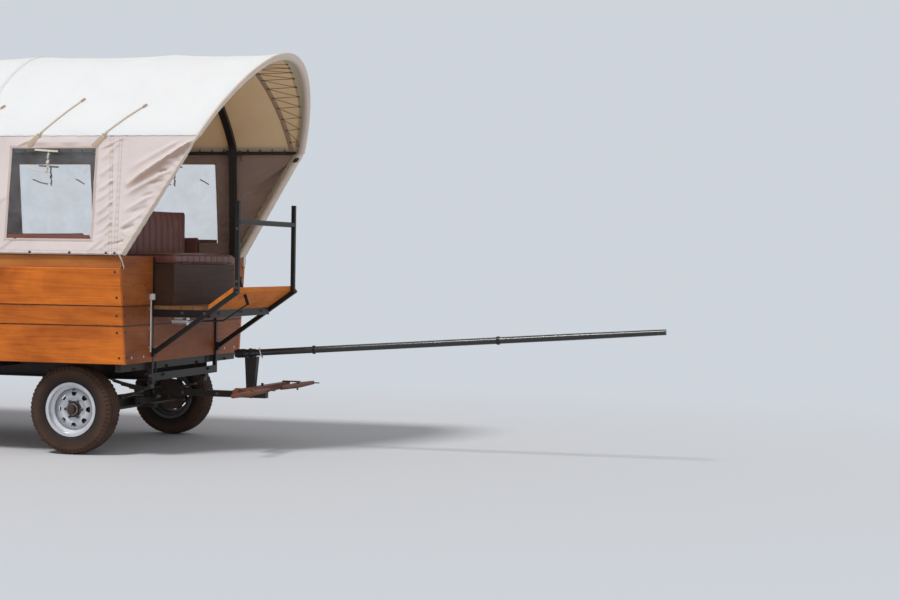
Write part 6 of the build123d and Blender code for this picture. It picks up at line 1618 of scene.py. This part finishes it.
def makeBolts():
    nut, head = hexNut(*boltSizes["nut"]), domeHead(*boltSizes["head"])
    groups = {}
    for node, (x, y, z), starts in boltRays:
        small = node in roundHeads
        bothSides = y or all(start[1] for start in starts)
        mirrored = [(start[0], -start[1], start[2]) for start in starts] if bothSides else []
        for start in starts + mirrored:
            hit = hitPlace(node, start, (x, -y if start in mirrored else y, z))
            if hit:
                place, out = hit
                shapes = groups.setdefault((boltBodies.get(node, "wagon"), small), [])
                shapes.append(placed(head if small else nut, place - boltSizes["sink"] * out, out))
    for (body, small), shapes in groups.items():
        name = ("woodScrews" if small else "frameBolts") + body.title()
        makePiece(name, shapes, "hubRust" if small else "wornBolt", body=body)


makeBolts()


# ---- the roof's inner hems, lashings, seams; doorway binding; door and pole fittings

roofTrim = dict(
    hemWidth=0.045, lashPitch=0.112, loop=0.0182, cord=0.0020, railY=1.1262, railZ=2.4262, seamWidth=0.032,
    loopShift=0.004, eyelet=(0.0075, 0.002, 12, 5), bindAt=(-0.066, -0.0585, -0.051, 0.051, 0.0585, 0.066),
    bind=0.0040, tail=0.0034, tailFrom=0.070, seamRow=0.012, rearSeamAhead=0.05,
)


def makeRoofTrim():
    r = roofTrim
    hems, loops, dots, seams, rows, binds = [], [], [], [], [], []
    eave = canopy["eaveAngle"] - 0.5 * r["hemWidth"] / canopy["haunchRadius"] - 0.002
    x = np.linspace(rear + 0.01, front + canopy["eaveAhead"] - 0.09, 420)
    at = np.arange(rear + 0.05, front + 0.50, r["lashPitch"])
    for side in (-1, 1):
        down = (0, -math.cos(eave), side * math.sin(eave))
        hems.append(band(onRoof(x, side * eave, -0.0052), down, r["hemWidth"], 0.0014))
        railY, railZ = side * r["railY"], r["railZ"]
        for k, place in enumerate(at):
            lean = np.array([1.0, 0.12 * math.sin(k * 1.7), 0.1 * math.cos(k * 2.9)])
            for shift in (-r["loopShift"], r["loopShift"]):
                loops.append(placed(ring(r["loop"], r["cord"], 14, 5), (place + shift, railY, railZ), lean))
            inside = onRoof(place, side * (eave + 0.004), -0.0062)
            dots.append(placed(ring(*r["eyelet"]), inside, (0, side * math.sin(eave), math.cos(eave))))
        t = np.linspace(0, 1, 60)  # the cord's run from loop to loop, along the rail
        level = railZ - 0.006 + 0.003 * np.sin(t * 70)
        run = np.stack([at[0] + (at[-1] - at[0]) * t, railY - side * 0.0165 + 0 * t, level], -1)
        loops.append(tube(run, r["cord"], 6))
        for bow in bowPlaces():
            for k, shift in enumerate(r["bindAt"]):
                wrap = (bow + shift, railY, railZ - 0.0016)
                binds.append(placed(ring(r["loop"], r["bind"], 16, 6), wrap, (1, 0.10 * (-1) ** k, 0.06)))
            end = np.array([bow + r["tailFrom"], railY - side * 0.018, railZ - 0.004])
            fall = ((0, 0, 0), (0.006, -side * 0.004, -0.020), (0.002, 0, -0.045), (0.008, -side * 0.003, -0.066))
            binds.append(tube(smoothThrough([end + step for step in fall], 5), r["tail"], 7, up=(1, 0, 0)))
    angles = np.linspace(-canopy["eaveAngle"], canopy["eaveAngle"], 150)
    for place in bowPlaces()[1:-1] + [bowPlaces()[-1] + r["rearSeamAhead"]]:
        seams.append(band(onRoof(place, angles, 0.0010), (1, 0, 0), r["seamWidth"], 0.0014))
        for shift in (-r["seamRow"], r["seamRow"]):
            rows.append(stitches(onRoof(place + shift, angles, 0.0020), roofNormal(angles), 0.014, 0.008))
    for name, shapes, label in (
        # the inner hems take the roof's inside, painted with warm light
        ("roofInnerHems", hems, "roofInside"), ("roofLashing", loops, "lace"), ("bowBindings", binds, "lace"),
        ("roofHemEyelets", dots, "hubRust"), ("roofSeams", seams, "roof"), ("roofSeamStitches", rows, "thread"),
    ):
        makePiece(name, shapes, label)


makeRoofTrim()


rearFittings = dict(
    hem=1.545, edge=1.22, foot=1.53, header=0.42, tape=0.030, hinges=(0.931, 1.366), strap=(0.0105, 0.80, 0.052),
    pinY=0.420, pin=((-0.0265, 0.0125), (-0.0255, 0.0135), (0.0255, 0.0135), (0.0265, 0.0125)),
    nut=(0.017, 0.009, 0.004), nutsAt=(-0.33, -0.12, 0.12, 0.33), latch=(0.008, 0.100, 0.030), latchAt=(-0.335, 1.22),
    handle=((0.006, -0.335, 1.22), (0.030, -0.335, 1.22), (0.034, -0.325, 1.222), (0.034, -0.25, 1.225)),
)


# Tapes round the doorway, and what is fastened to the door: straps over its hinges, their nuts and a latch
def makeRearFittings():
    r = rearFittings
    tapes, rows, steel, bright = [], [], [], []
    half, top, hem, edge = rearCurtain["doorHalf"], rearCurtain["doorTop"], r["hem"], r["edge"]
    for (ya, za), (yb, zb) in (
        ((-half, r["foot"]), (-half, top)), ((half, r["foot"]), (half, top)), ((-r["header"], top), (r["header"], top)),
        ((-edge, hem), (-half, hem)), ((half, hem), (edge, hem)),
    ):
        t = np.linspace(0, 1, 40)
        path = np.stack([rear - 0.0012 + 0 * t, ya + (yb - ya) * t, za + (zb - za) * t], -1)
        tapes.append(band(path, (0, zb - za, yb - ya), r["tape"], 0.0022))
        rows.append(stitches(path - (0.0012, 0, 0), (-1, 0, 0), 0.013, 0.007))
    for z in r["hinges"]:
        steel.append(placed(roundedBlock(r["strap"], 0.004, 0.002), (rear - 0.0045, 0.022, z)))
        steel.append(placed(spun(r["pin"], 24), (rear - 0.0125, r["pinY"], z)))
        for y in r["nutsAt"]:
            bright.append(placed(hexNut(*r["nut"]), (rear - 0.0094, y, z), (-1, 0, 0)))
    bright.append(placed(roundedBlock(r["latch"], 0.006, 0.002), (rear - 0.0035, *r["latchAt"])))
    bright.append(tube(smoothThrough([(rear - x, y, z) for x, y, z in r["handle"]], 6), 0.006, 10))
    makePiece("doorwayBinding", tapes, "binding")
    makePiece("doorwayStitches", rows, "thread")
    makePiece("doorStraps", steel, "blackSteel", body="rear_door")
    makePiece("doorLatch", bright, "zinc", body="rear_door")


# The pole's axis: where it starts behind the front, its height there, and its run and rise
poleLine = dict(
    ahead=0.430, z=0.754, run=3.47, rise=0.256, ringAhead=0.647, ring=(0.0400, 0.0042, 28, 8), ringDown=0.0045,
    collars=((1.060, 1.130, 0.0355), (1.165, 1.185, 0.0375), (1.70, 1.72, 0.0335), (3.20, 3.225, 0.0325)),
)


# Collars at the pole's tail and along it, and a ring round the pole
def makePoleFittings():
    p = poleLine
    slope = np.array([p["run"], 0, p["rise"]])
    slope = slope / np.linalg.norm(slope)

    def onPole(x):
        return np.array([x, 0, p["z"] + p["rise"] * (x - front - p["ahead"]) / p["run"]])

    collars = []
    for a, b, radius in p["collars"]:
        length = np.linalg.norm(onPole(b) - onPole(a))
        profile = [(0, radius - 0.004), (0.002, radius), (length - 0.002, radius), (length, radius - 0.004)]
        collars.append(placed(spun(profile, 32), onPole(a), slope))
    hang = onPole(front + p["ringAhead"]) - (0, 0, p["ringDown"])
    loop = placed(ring(*p["ring"]), hang, slope + np.array([0, 0.25, 0.28]))
    makePiece("poleCollars", collars, "blackSteel", body="drawbar", slot="pole_steel")
    makePiece("poleRing", loop, "brightSteel", body="drawbar")


makeRearFittings()
makePoleFittings()
print("fastenings made")
